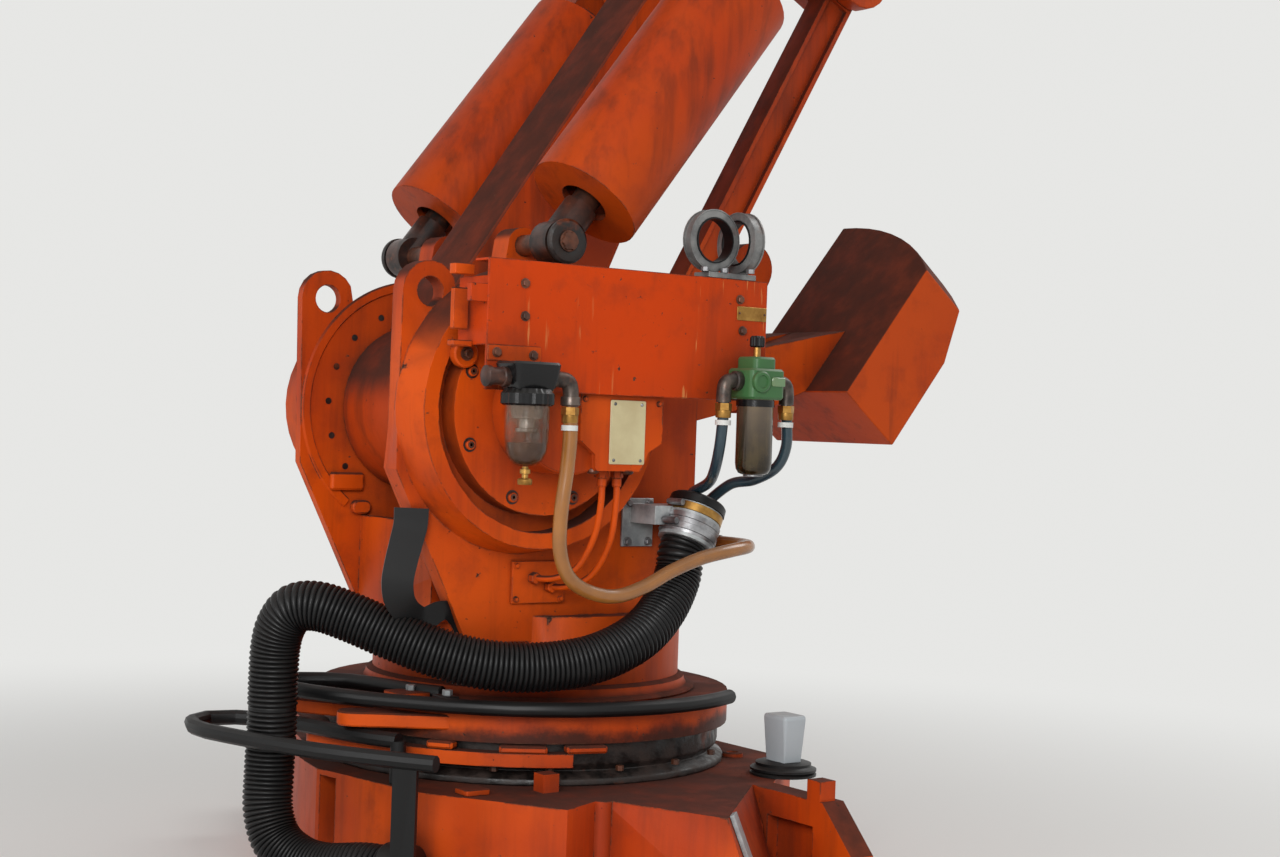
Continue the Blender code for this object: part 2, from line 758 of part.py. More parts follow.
def make_base():
    half = base_outline()
    plan = [(BASE_FRONT, BASE_FAR_Y), (BASE_NOSE_X, BASE_NOSE_Y)] + half
    plan += [(x, -y) for x, y in reversed(half[1:])]
    plan.append((BASE_TUCK_X, BASE_TUCK_Y))
    body = flat("base_casting", [plan], DECK_Z, placed((0, 0, DECK_Z / 2)))
    pieces = make_feet()
    pieces.append(rod("step_rib", (STEP_X, STEP_Y, 0), (STEP_X, STEP_Y, DECK_Z), STEP_RIB_R, SMALL_STEPS))
    pieces.append(
        box("deck_block", (DECK_BLOCK_X - DECK_BLOCK / 2, DECK_BLOCK_Y - DECK_BLOCK / 2, DECK_Z - FUSE),
            (DECK_BLOCK_X + DECK_BLOCK / 2, DECK_BLOCK_Y + DECK_BLOCK / 2, DECK_Z + DECK_BLOCK))
    )
    corner = (BASE_NOSE_X - GUSSET_THICK, BASE_NOSE_Y - GUSSET_THICK, 0)
    gusset = [(-GUSSET_REACH, 0)]
    gusset += arc(-GUSSET_REACH, GUSSET_REACH + FOOT_PAD, GUSSET_REACH, 270, 360, 9)
    gusset += [(GUSSET_THICK, GUSSET_REACH + FOOT_PAD), (GUSSET_THICK, 0)]
    pieces.append(flat("gusset", [gusset], GUSSET_THICK, placed(corner, GUSSET_WAY, (0, 0, 1))))
    fuse(body, *pieces)
    cutters = [
        box("front_slot", (BASE_FACET_X - FRONT_SLOT_DEEP, FRONT_SLOT_Y, FOOT_PAD),
            (BASE_FRONT + FRONT_SLOT, FRONT_SLOT_Y + FRONT_SLOT, DECK_Z - OVERRUN / 2))
    ]
    for side in (1, -1):
        low, high = sorted((side * (CROOK_Y + WEB_RIM), side * (HEEL_Y - WEB_RIM / 2)))
        cutters.append(
            box("web_pocket", (CROOK_X - WEB_POCKET, low, FOOT_PAD), (CROOK_X + OVERRUN, high, DECK_Z - WEB_RIM))
        )
    cut(body, *cutters)
    finish(body, orange(), "base_body")

    ring = turned(
        "slewing_ring",
        [
            (0, BEARING_TOP - GAP), (BEARING_R, BEARING_TOP - GAP), (BEARING_R, DECK_Z + 3 * BEARING_LIP),
            (BEARING_R - BEARING_LIP, DECK_Z + 2 * BEARING_LIP), (LIP_R, DECK_Z + BEARING_LIP),
            (LIP_R, DECK_Z + GAP), (0, DECK_Z + GAP),
        ],
        placed((0, 0, 0)),
    )
    finish(ring, material("greasy_iron", (0.02, 0.016, 0.014), 0.35, 0.4), "base_body")

    collar = arc(0, 0, STOP_R, STOP_FROM, STOP_TO, 17) + arc(0, 0, BEARING_R - FUSE, STOP_TO, STOP_FROM, 17)
    stop = flat("stop_ring", [collar], STOP_THICK, placed((0, 0, STOP_Z)))
    arms = []
    for heading in STOP_ARM_TURNS:
        turn = Matrix.Rotation(math.radians(heading), 4, "Z")
        tip = turn @ Vector((STOP_R + STOP_ARM_OUT, STOP_ARM_Y, 0))
        root_turn = Matrix.Rotation(math.radians(heading + STOP_ROOT_TURN), 4, "Z")
        root = root_turn @ Vector(((STOP_R + BEARING_R) / 2, 0, 0))
        outline = hull_outline((tip.x, tip.y), STOP_ARM_R, (root.x, root.y), STOP_ARM_R)
        arms.append(flat("stop_arm", [outline], STOP_THICK - FUSE / 2, placed((0, 0, STOP_Z))))
    fuse(stop, *arms)
    cut(stop, rod("stop_bore", (0, 0, DECK_Z), (0, 0, FLANGE_TOP), BEARING_R + GAP, 2 * ROUND_STEPS))
    finish(stop, orange(), "base_body")


def make_base_fittings():
    seat = turned(
        "connector_seat",
        [
            (0, SEAT_TOP), (SEAT_NECK_R, SEAT_TOP), (SEAT_NECK_R, SEAT_NECK_Z), (SEAT_R, SEAT_SHOULDER_Z),
            (SEAT_R, DECK_Z + GAP), (0, DECK_Z + GAP),
        ],
        placed((SEAT_X, SEAT_Y, 0)), 28,
    )
    finish(seat, black(), "base_body")
    plug = box(
        "cable_connector", (SEAT_X - PLUG_HALF_X, SEAT_Y - PLUG_HALF_Y, SEAT_TOP + GAP),
        (SEAT_X + PLUG_HALF_X, SEAT_Y + PLUG_HALF_Y, PLUG_TOP), PLUG_CORNER,
    )
    finish(plug, material("grey_plastic", (0.25, 0.26, 0.27), 0.5), "base_body")

    slope = Vector((TOE_X - FOOT_PAD / 2, FOOT_END, FOOT_PAD)) - Vector((TOE_X, TOE_Y, DECK_Z))
    edge = Vector((CROOK_X - TOE_X, CROOK_Y - TOE_Y, 0)).normalized()
    down = (slope - edge * slope.dot(edge)).normalized()
    out = edge.cross(down)
    if out.z < 0:
        out = -out
    start = Vector((TOE_X, TOE_Y, DECK_Z)) + edge * RAIL_WIDE + out * (RAIL_THICK / 2 + GAP)
    matrix = placed(start, down, out.cross(down))
    rail = flat(
        "foot_rail",
        [[(0, -RAIL_WIDE / 2), (RAIL_LENGTH, -RAIL_WIDE / 2), (RAIL_LENGTH, RAIL_WIDE / 2), (0, RAIL_WIDE / 2)]],
        RAIL_THICK, matrix,
    )
    finish(rail, steel(), "base_body")

    route = list(LOWER_GUIDE_START) + beside_flange(LOWER_GUIDE)
    guide = bake(tube("lower_hose_guide", smooth_points(route, 4 * GUIDE_ROD), GUIDE_ROD, 3))
    x, y = POST_AT
    way = Vector((BASE_FACET_X - CORNER_X, BASE_FACET_Y - CORNER_Y, 0)).normalized()
    rise = route[0][2]
    post = flat(
        "guide_post",
        [[(-POST_WIDE / 2, 0), (POST_WIDE / 2, 0), (POST_WIDE / 2, rise), (-POST_WIDE / 2, rise)]],
        POST_THICK, placed((x, y, 0), way, (0, 0, 1)),
    )
    end = Vector(route[-1])
    leg = rod("guide_leg", (end.x, end.y, DECK_Z + GAP), (end.x, end.y, end.z), GUIDE_ROD, 16)
    fuse(guide, post, leg)
    finish(guide, black(), "base_body")


def cheek_outline(front, inset, lug):
    """The pear-shaped side of the frame: lifting lug, straight front, tapering toe, heel and round top."""
    outline = arc(LUG_X, LUG_Z, LUG_R, 0, 150, 9) if lug else []
    first = 52 if lug else 20
    outline += arc(AXIS_X, AXIS_Z, RING_R - CHEEK_BEVEL / 2 - inset, first, 128, 11)
    rear = CHEEK_REAR + inset
    outline += [
        (rear, CHEEK_REAR_TOP - inset), (rear, CHEEK_BOTTOM + CHEEK_HEEL), (rear + CHEEK_HEEL, CHEEK_BOTTOM),
        (CHEEK_TOE_X + front - CHEEK_FRONT, CHEEK_BOTTOM), (front, CHEEK_TURN_Z),
    ]
    return outline


def make_cheek(side):
    """One side of the frame: a plate with the lifting lug and, on the near side, the thick body behind it."""
    lug_hole = circle(LUG_X, LUG_Z, LUG_HOLE_R, SMALL_STEPS)
    if side > 0:
        body = side_plate(
            "cheek_body", [cheek_outline(CHEEK_BODY_FRONT, CHEEK_INSET, False)], CHEEK_IN, CHEEK_OUT - CHEEK_PLATE,
        )
        plate = side_plate(
            "cheek_plate", [cheek_outline(CHEEK_FRONT, 0, True), lug_hole], CHEEK_OUT - CHEEK_PLATE - FUSE, CHEEK_OUT,
        )
        return [body, plate]
    plate = side_plate(
        "cheek_plate", [cheek_outline(FAR_FRONT, 0, True), lug_hole], -CHEEK_IN - FAR_PLATE, -CHEEK_IN,
    )
    root = box(
        "far_root", (BODY_REAR + CHEEK_INSET, -CHEEK_OUT, NECK_TOP - OVERRUN),
        (CHEEK_TOE_X - CHEEK_HEEL, -CHEEK_IN - FUSE, BODY_TOP - CHEEK_INSET),
    )
    return [plate, root]


def gear_ring(side):
    """The stepped drum round the second axis, with the groove inside its rim."""
    out = placed((AXIS_X, side * CHEEK_OUT, AXIS_Z), (1, 0, 0), (0, 0, -side))
    rise = RING_OUT - CHEEK_OUT
    sunk = CHEEK_OUT - CHEEK_IN - FUSE
    if side < 0:
        return turned("far_drum", [(0, rise), (FAR_DRUM_R, rise), (FAR_DRUM_R, -sunk), (0, -sunk)], out)
    return turned(
        "gear_ring",
        [
            (0, rise), (DISC_R, rise), (DISC_R, rise - GROOVE_DEPTH), (GROOVE_R, rise - GROOVE_DEPTH),
            (GROOVE_R, rise), (RING_R, rise), (RING_ROOT_R, 0), (RING_ROOT_R, -FUSE), (0, -FUSE),
        ],
        out, 48,
    )


def spring_lug(side):
    """The boss behind the cheek's rim that carries the pin of a balancing cylinder's rod."""
    low, high = sorted((side * LOW_PIN_IN, side * LOW_LUG_OUT))
    foot = AXIS_Z + RING_R - LUG_R
    lug = [(LOW_PIN_X - LOW_LUG_R, LOW_PIN_Z), (LOW_PIN_X - LOW_LUG_FOOT, foot), (LOW_PIN_X + LOW_LUG_FOOT, foot),
           (LOW_PIN_X + LOW_LUG_R, LOW_PIN_Z)]
    lug += arc(LOW_PIN_X, LOW_PIN_Z, LOW_LUG_R, 0, 180, 11)[1:-1]
    hole = circle(LOW_PIN_X, LOW_PIN_Z, LOW_PIN_R + GAP, SMALL_STEPS)
    return side_plate("spring_lug", [lug, hole], low, high)


def make_frame():
    body = turned(
        "turning_frame",
        [
            (0, NECK_TOP), (NECK_R, NECK_TOP), (NECK_R, FLANGE_TOP), (FLANGE_R, FLANGE_TOP),
            (FLANGE_R, BEARING_TOP), (0, BEARING_TOP),
        ],
        placed((0, 0, 0)), 56,
    )
    web = [
        (BODY_REAR, NECK_TOP - OVERRUN), (BODY_FRONT, NECK_TOP - OVERRUN), (BODY_FRONT, BODY_TOP),
        (BODY_KNEE_X, BODY_TOP - OVERRUN), (BODY_REAR, BODY_REAR_TOP),
    ]
    pieces = [side_plate("lower_body", [web], -BODY_HALF, BODY_HALF)]
    for side in (1, -1):
        pieces += make_cheek(side)
        pieces.append(gear_ring(side))
        pieces.append(spring_lug(side))
    fuse(body, *pieces)
    finish(body, orange(), "frame_body")


def make_side_fittings():
    for side, name in ((1, "near"), (-1, "far")):
        face = side * (RING_OUT + GAP)
        motor = cross_rod(f"{name}_motor", AXIS_X, AXIS_Z, *sorted((face, face + side * MOTOR_LENGTH)), MOTOR_R)
        if side > 0:
            fuse(motor, box("terminal_box", (TERMINAL_REAR, face, TERMINAL_LOW),
                            (TERMINAL_FRONT, TERMINAL_OUT, TERMINAL_TOP), COVER_CORNER))
        finish(motor, orange(), "frame_body")
        pin = cross_rod(
            f"{name}_spring_pin", LOW_PIN_X, LOW_PIN_Z, *sorted((side * LOW_PIN_IN, side * LOW_PIN_OUT)),
            LOW_PIN_R, SMALL_STEPS,
        )
        finish(pin, steel(), "frame_body")
    cover = box(
        "access_cover", (COVER_X - COVER_HALF_X, CHEEK_OUT + GAP, COVER_Z - COVER_HALF_Z),
        (COVER_X + COVER_HALF_X, CHEEK_OUT + COVER_THICK, COVER_Z + COVER_HALF_Z),
    )
    finish(cover, orange(), "frame_body")


def make_guard():
    """The bent sheet guard on two posts that stand on the gear ring's rim."""
    inner = GUARD_Y - GUARD_THICK
    guard = box("guard_plate", (GUARD_REAR, inner, GUARD_LOW), (GUARD_FRONT, GUARD_Y, GUARD_TOP))
    pieces = [
        box("guard_lip", (GUARD_REAR, GUARD_Y - GUARD_LIP, GUARD_TOP - GUARD_THICK), (GUARD_FRONT, GUARD_Y, GUARD_TOP)),
        box("guard_return", (GUARD_FRONT - GUARD_THICK, GUARD_Y - GUARD_RETURN, GUARD_RETURN_LOW),
            (GUARD_FRONT, GUARD_Y, GUARD_RETURN_TOP)),
    ]
    rim = (GROOVE_R + RING_R) / 2
    for angle in (56, 124):
        x = AXIS_X + rim * math.cos(math.radians(angle))
        z = AXIS_Z + rim * math.sin(math.radians(angle))
        pieces.append(cross_rod("guard_post", x, z, RING_OUT + GAP, inner + FUSE / 2, POST_R, 16))
    rise = AXIS_Z + rim * math.sin(math.radians(56))
    pieces.append(
        box("guard_strip", (GUARD_REAR + GUARD_LIP, inner - STRIP_THICK, rise - STRIP_HEIGHT / 2),
            (AXIS_X + rim, inner + FUSE / 2, rise + STRIP_HEIGHT / 2))
    )
    fuse(guard, *pieces)
    finish(guard, orange(), "frame_body")


def make_pipe_clamps():
    """A pair of round pipe clamps on one foot, standing on the guard's top edge."""
    middle = GUARD_Y - GUARD_LIP / 2
    foot = box(
        "pipe_clamps", (CLAMP_X - CLAMP_PITCH - CLAMP_FOOT_END, GUARD_Y - GUARD_LIP, GUARD_TOP + GAP),
        (CLAMP_X + CLAMP_FOOT_END, GUARD_Y, GUARD_TOP + CLAMP_FOOT),
    )
    pieces = []
    height = GUARD_TOP + CLAMP_RISE
    stem = [(-CLAMP_WIDE / 2, GUARD_TOP + CLAMP_FOOT / 2), (CLAMP_WIDE / 2, GUARD_TOP + CLAMP_FOOT / 2)]
    loop = arc(0, height, CLAMP_RING_R, CLAMP_FROM, CLAMP_TO, CLAMP_STEPS)
    ring = [loop + stem, circle(0, height, CLAMP_BORE_R, SMALL_STEPS)]
    for x, way in ((CLAMP_X, (1, 0, 0)), (CLAMP_X - CLAMP_PITCH, (0, 1, 0))):
        pieces.append(flat("clamp_ring", ring, CLAMP_WIDE, placed((x, middle, 0), way, (0, 0, 1))))
    fuse(foot, *pieces)
    finish(foot, steel(), "frame_body")


def make_air_units():
    """The filter and the oiler, each a head with its ports and a bowl below, seated on the guard plate."""
    head = turned(
        "filter_head",
        [
            (0, FILTER_TOP), (FILTER_R - COVER_CORNER, FILTER_TOP), (FILTER_R, FILTER_TOP - COVER_CORNER),
            (FILTER_R, FILTER_LOW), (0, FILTER_LOW),
        ],
        placed((FILTER_X, FILTER_Y, 0)), 28,
    )
    end = FILTER_X - PORT_REACH
    ports = [
        rod("port", (FILTER_X + PORT_REACH, FILTER_Y, PORT_Z), (end - PORT_R, FILTER_Y, PORT_Z), PORT_R, 16),
        rod("elbow", (end, FILTER_Y, PORT_Z), (end, FILTER_Y, PORT_Z - ELBOW_DROP), ELBOW_R, 16),
    ]
    fuse(head, *ports)
    finish(head, black(), "frame_body")
    bowl = turned(
        "filter_bowl",
        [
            (0, FILTER_LOW - GAP), (BOWL_R, FILTER_LOW - GAP), (BOWL_R, BOWL_SHOULDER_Z),
            (BOWL_TOE_R, BOWL_TOE_Z), (BOWL_FLOOR_R, BOWL_LOW), (DRAIN_R, BOWL_LOW),
            (DRAIN_R, BOWL_LOW - BOWL_NOSE), (0, BOWL_LOW - BOWL_NOSE),
        ],
        placed((FILTER_X, FILTER_Y, 0)), 28,
    )
    finish(bowl, material("clear_plastic", (0.6, 0.6, 0.55), 0.2), "frame_body")

    green = turned(
        "oiler_head",
        [
            (0, KNOB_TOP), (KNOB_R, KNOB_TOP), (KNOB_R, OILER_TOP), (OILER_R - COVER_CORNER, OILER_TOP),
            (OILER_R, OILER_TOP - COVER_CORNER), (OILER_R, OILER_LOW), (0, OILER_LOW),
        ],
        placed((OILER_X, OILER_Y, 0)), 28,
    )
    elbows = []
    for side in (1, -1):
        x = OILER_X + side * OILER_PORT_REACH
        elbows.append(rod("port", (OILER_X, OILER_Y, OILER_PORT_Z), (x, OILER_Y, OILER_PORT_Z), OILER_PORT_R, 16))
        elbows.append(
            rod("elbow", (x, OILER_Y, OILER_PORT_Z + PORT_R), (x, OILER_Y, OILER_PORT_Z - ELBOW_DROP), ELBOW_R, 16)
        )
    fuse(green, *elbows)
    finish(green, material("green_enamel", (0.08, 0.2, 0.07), 0.4), "frame_body")
    jar = turned(
        "oiler_bowl",
        [
            (0, OILER_LOW - GAP), (JAR_R, OILER_LOW - GAP), (JAR_R, JAR_LOW + JAR_R / 2), (JAR_R / 2, JAR_LOW),
            (0, JAR_LOW),
        ],
        placed((OILER_X, OILER_Y, 0)), 28,
    )
    finish(jar, material("oily_metal", (0.25, 0.18, 0.08), 0.35, 0.6), "frame_body")


def make_coupling():
    """The steel coupling that holds the corrugated hose's upper end, on a saddle bolted to the cheek."""
    top = Vector(COUPLING_TOP)
    bottom = top + Vector(COUPLING_WAY).normalized() * COUPLING_LENGTH
    coupling = rod("hose_coupling", top, bottom, COUPLING_R, 32)
    plate = box(
        "saddle_plate", (SADDLE_X - SADDLE_HALF_X, CHEEK_OUT + GAP, SADDLE_Z - SADDLE_HALF_Z),
        (SADDLE_X + SADDLE_HALF_X, CHEEK_OUT + SADDLE_PLATE, SADDLE_Z + SADDLE_HALF_Z),
    )
    middle = (top + bottom) / 2
    saddle = box(
        "saddle", (middle.x - SADDLE_HALF_X / 2, CHEEK_OUT + GAP, SADDLE_Z),
        (SADDLE_X + SADDLE_HALF_X / 2, middle.y, SADDLE_Z + SADDLE_HALF_X),
    )
    fuse(coupling, plate, saddle)
    finish(coupling, steel(), "frame_body")
    return top, bottom


def make_outlet():
    """The bulkhead fitting on the cheek's rear edge in which the air hose ends."""
    plate = box(
        "air_outlet", (OUTLET_X - OUTLET_R - COVER_CORNER, OUTLET_Y - OUTLET_PLATE, OUTLET_Z - OUTLET_HALF),
        (CHEEK_REAR - GAP, OUTLET_Y, OUTLET_Z + OUTLET_HALF),
    )
    fuse(plate, cross_rod("outlet", OUTLET_X, OUTLET_Z, OUTLET_Y - OUTLET_LENGTH, OUTLET_Y + OUTLET_LENGTH, OUTLET_R, 16))
    finish(plate, steel(), "frame_body")


def make_hoses():
    top, bottom = make_coupling()
    make_outlet()
    way = Vector(COUPLING_WAY).normalized()
    down = Vector((0, 0, -1))
    split = Vector(HOSE_SPLIT)
    along = Vector((CORNER_X - BASE_FACET_X, CORNER_Y - BASE_FACET_Y, 0)).normalized()
    away = along.cross(-down)
    root = Vector((BASE_FACET_X, BASE_FACET_Y, FITTING_Z)) + along * FITTING_ALONG
    mouth = root + away * FITTING_STAND - along * FITTING_LENGTH
    upper = led(bottom + way * GAP, way, HOSE_R / 2) + list(HOSE_ROUTE) + led(split, -down, HOSE_R / 2)[::-1]
    lower = led(split + down * GAP, down, HOSE_R / 2) + list(LOWER_ROUTE) + led(mouth - along * GAP, -along, HOSE_R)[::-1]
    finish(hose("corrugated_hose", upper, HOSE_R, HOSE_STEP, 3), black(), "frame_body")
    finish(hose("lower_hose", lower, HOSE_R, HOSE_STEP, 3), black(), "base_body")
    fitting = rod("hose_fitting", mouth, mouth + along * FITTING_LENGTH, FITTING_R, 28)
    half = FITTING_SADDLE_HALF
    saddle = flat(
        "fitting_saddle", [[(-half, -half), (half, -half), (half, half), (-half, half)]], FITTING_STAND - GAP,
        placed(root + away * (FITTING_STAND + GAP) / 2 + along * (half - FITTING_LENGTH / 2), along, (0, 0, 1)),
    )
    fuse(fitting, saddle)
    finish(fitting, black(), "base_body")

    port = led(Vector((FILTER_X - PORT_REACH, FILTER_Y, PORT_Z - ELBOW_DROP - GAP)), down, AMBER_R)
    outlet = led(Vector((OUTLET_X, OUTLET_Y + OUTLET_LENGTH + GAP, OUTLET_Z)), Vector((0, 1, 0)), AMBER_R)
    amber = material("amber_hose", (0.45, 0.25, 0.09), 0.4)
    finish(hose("amber_hose", port + list(AMBER_ROUTE) + outlet[::-1], AMBER_R), amber, "frame_body")
    teal = material("teal_hose", (0.03, 0.09, 0.12), 0.45)
    across = way.cross(Vector((0, 1, 0))).normalized()
    for number, side, route in ((1, 1, TEAL_ROUTE_1), (2, -1, TEAL_ROUTE_2)):
        start = Vector((OILER_X + side * OILER_PORT_REACH, OILER_Y, OILER_PORT_Z - ELBOW_DROP - GAP))
        end = top - way * GAP * 2 + across * side * 2 * TEAL_R
        points = led(start, down, TEAL_R) + list(route) + led(end, -way, TEAL_R)[::-1]
        finish(hose(f"teal_hose_{number}", points, TEAL_R), teal, "frame_body")
    for number, route, (x, z) in ((1, GREASE_ROUTE_1, GREASE_END_1), (2, GREASE_ROUTE_2, GREASE_END_2)):
        start = Vector((route[0][0], route[0][1], TERMINAL_LOW - GAP))
        end = led(Vector((x, CHEEK_OUT + COVER_THICK + 2 * GAP, z)), Vector((0, 1, 0)), GREASE_R)
        points = led(start, down, GREASE_R) + list(route) + end[::-1]
        finish(hose(f"grease_tube_{number}", points, GREASE_R), orange(), "frame_body")


def make_guide_and_strap():
    angles = [math.radians(a) for a in range(GUIDE_ARC_FROM, GUIDE_ARC_TO - 1, -GUIDE_ARC_STEP)]
    reach = FLANGE_R + GUIDE_STAND
    route = [(reach * math.cos(a), reach * math.sin(a), GUIDE_ARC_Z) for a in angles] + beside_flange(GUIDE_LOOP)
    guide = tube("upper_hose_guide", smooth_points(route, 4 * GUIDE_ROD), GUIDE_ROD, 3)
    finish(guide, black(), "frame_body")

    points = smooth_points(STRAP_ROUTE, STRAP_WIDE / 2)
    mesh = bpy.data.meshes.new("hose_strap")
    shape = bmesh.new()
    rows = []
    for i, point in enumerate(points):
        ahead = points[min(i + 1, len(points) - 1)] - points[max(i - 1, 0)]
        across = ahead.cross(Vector((0, 1, 0))).normalized().cross(ahead).normalized() * STRAP_WIDE / 2
        rows.append([shape.verts.new(point - across), shape.verts.new(point + across)])
    for a, b in zip(rows, rows[1:]):
        shape.faces.new((a[0], a[1], b[1], b[0]))
    shape.to_mesh(mesh)
    shape.free()
    strap = new_object("hose_strap", mesh)
    wall = strap.modifiers.new("wall", "SOLIDIFY")
    wall.thickness = STRAP_THICK
    wall.offset = 0
    finish(bake(strap), black(), "frame_body")


def make_lower_arm():
    """A tapering box arm with a round hub below and a boss for the elbow pin above."""
    half_thick = (HUB_NEAR + HUB_FAR) / 2
    middle = (HUB_NEAR - HUB_FAR) / 2
    thrust = half_thick + CHEEK_IN - HUB_FAR - GAP
    hub = turned(
        "lower_arm",
        [
            (0, thrust), (THRUST_R, thrust), (THRUST_R, half_thick), (HUB_R, half_thick), (HUB_R, -half_thick),
            (0, -half_thick),
        ],
        placed((AXIS_X, middle, AXIS_Z), (1, 0, 0), (0, 0, 1)),
    )
    outline = [
        (-ARM_LOW_HALF_DEPTH, ARM_ROOT), (-ARM_TOP_HALF_DEPTH, ARM_LENGTH), (ARM_TOP_HALF_DEPTH, ARM_LENGTH),
        (ARM_LOW_HALF_DEPTH, ARM_ROOT), (HUB_R / 2, 0), (-HUB_R / 2, 0),
    ]
    lean = on_lean(AXIS, LEAN) @ Matrix.Translation((0, 0, (ARM_HALF - HUB_NEAR) / 2))
    beam = bake(add_bevel(flat("beam", [outline], ARM_HALF + HUB_NEAR, lean), ARM_EDGE, 2))
    side = Vector((0, ARM_HALF, 0))
    over = Vector((0, ARM_HALF + OVERRUN, 0))
    fuse(hub, beam, rod("boss", ELBOW - side, ELBOW + side, ARM_BOSS_R))
    cut(hub, rod("elbow_hole", ELBOW - over, ELBOW + over, PIN_R + GAP))
    finish(hub, orange(), "lower_arm_body")


def make_cylinders():
    reach = (LOW_PIN - ELBOW).length
    down = (LOW_PIN - ELBOW).normalized()
    length = reach - ROD_NECK - CYL_CLEAR
    for side, name in ((1, "near"), (-1, "far")):
        top = ELBOW + Vector((0, side * CYL_Y, 0))
        bottom = LOW_PIN + Vector((0, side * CYL_Y, 0))
        body = turned(
            f"{name}_cylinder",
            [
                (0, -CYL_HEAD), (CYL_BORE_R, -CYL_HEAD), (CYL_R, -CYL_HEAD - CYL_BORE_R / 2), (CYL_R, -length),
                (CYL_CAP_HOLE_R, -length), (CYL_CAP_HOLE_R, -(length - CYL_CAP)), (CYL_BORE_R, -(length - CYL_CAP)),
                (CYL_BORE_R, -(length - CYL_BORE)), (0, -(length - CYL_BORE)),
            ],
            placed(top, (0, 1, 0), (-down).cross(Vector((0, 1, 0)))),
        )
        root = ELBOW + down * (CYL_HEAD + FUSE)
        eye = side_plate(
            "eye",
            [hull_outline((ELBOW.x, ELBOW.z), CYL_EYE_R, (root.x, root.z), CYL_BORE_R),
             circle(ELBOW.x, ELBOW.z, PIN_R + GAP)],
            *sorted((side * (CYL_Y - CYL_EYE_HALF), side * (CYL_Y + CYL_EYE_HALF))),
        )
        fuse(body, eye)
        finish(body, orange(), "cylinder_body")
        shaft = rod(f"{name}_rod", bottom, bottom - down * ROD_LENGTH, ROD_R, SMALL_STEPS)
        ring = cross_rod("rod_eye", LOW_PIN_X, LOW_PIN_Z,
                         *sorted((side * (CYL_Y - ROD_EYE_HALF), side * (CYL_Y + ROD_EYE_HALF))), ROD_EYE_R, SMALL_STEPS)
        neck = rod("rod_neck", bottom, bottom - down * ROD_NECK, ROD_NECK_R, SMALL_STEPS)
        hole = cross_rod("rod_eye_hole", LOW_PIN_X, LOW_PIN_Z,
                         *sorted((side * (CYL_Y - CYL_R), side * (CYL_Y + CYL_R))), LOW_PIN_R + GAP, SMALL_STEPS)
        fuse(shaft, neck, ring)
        cut(shaft, hole)
        finish(shaft, steel(), "rod_body")


def hull_outline(a, radius_a, b, radius_b, count=14):
    """The outline of a link: two circles and their outer tangents."""
    ax, ay = a
    bx, by = b
    reach = math.hypot(bx - ax, by - ay)
    heading = math.degrees(math.atan2(by - ay, bx - ax))
    swing = math.degrees(math.acos((radius_a - radius_b) / reach))
    points = arc(ax, ay, radius_a, heading + swing, heading + 360 - swing, count)
    return points + arc(bx, by, radius_b, heading - swing, heading + swing, count)


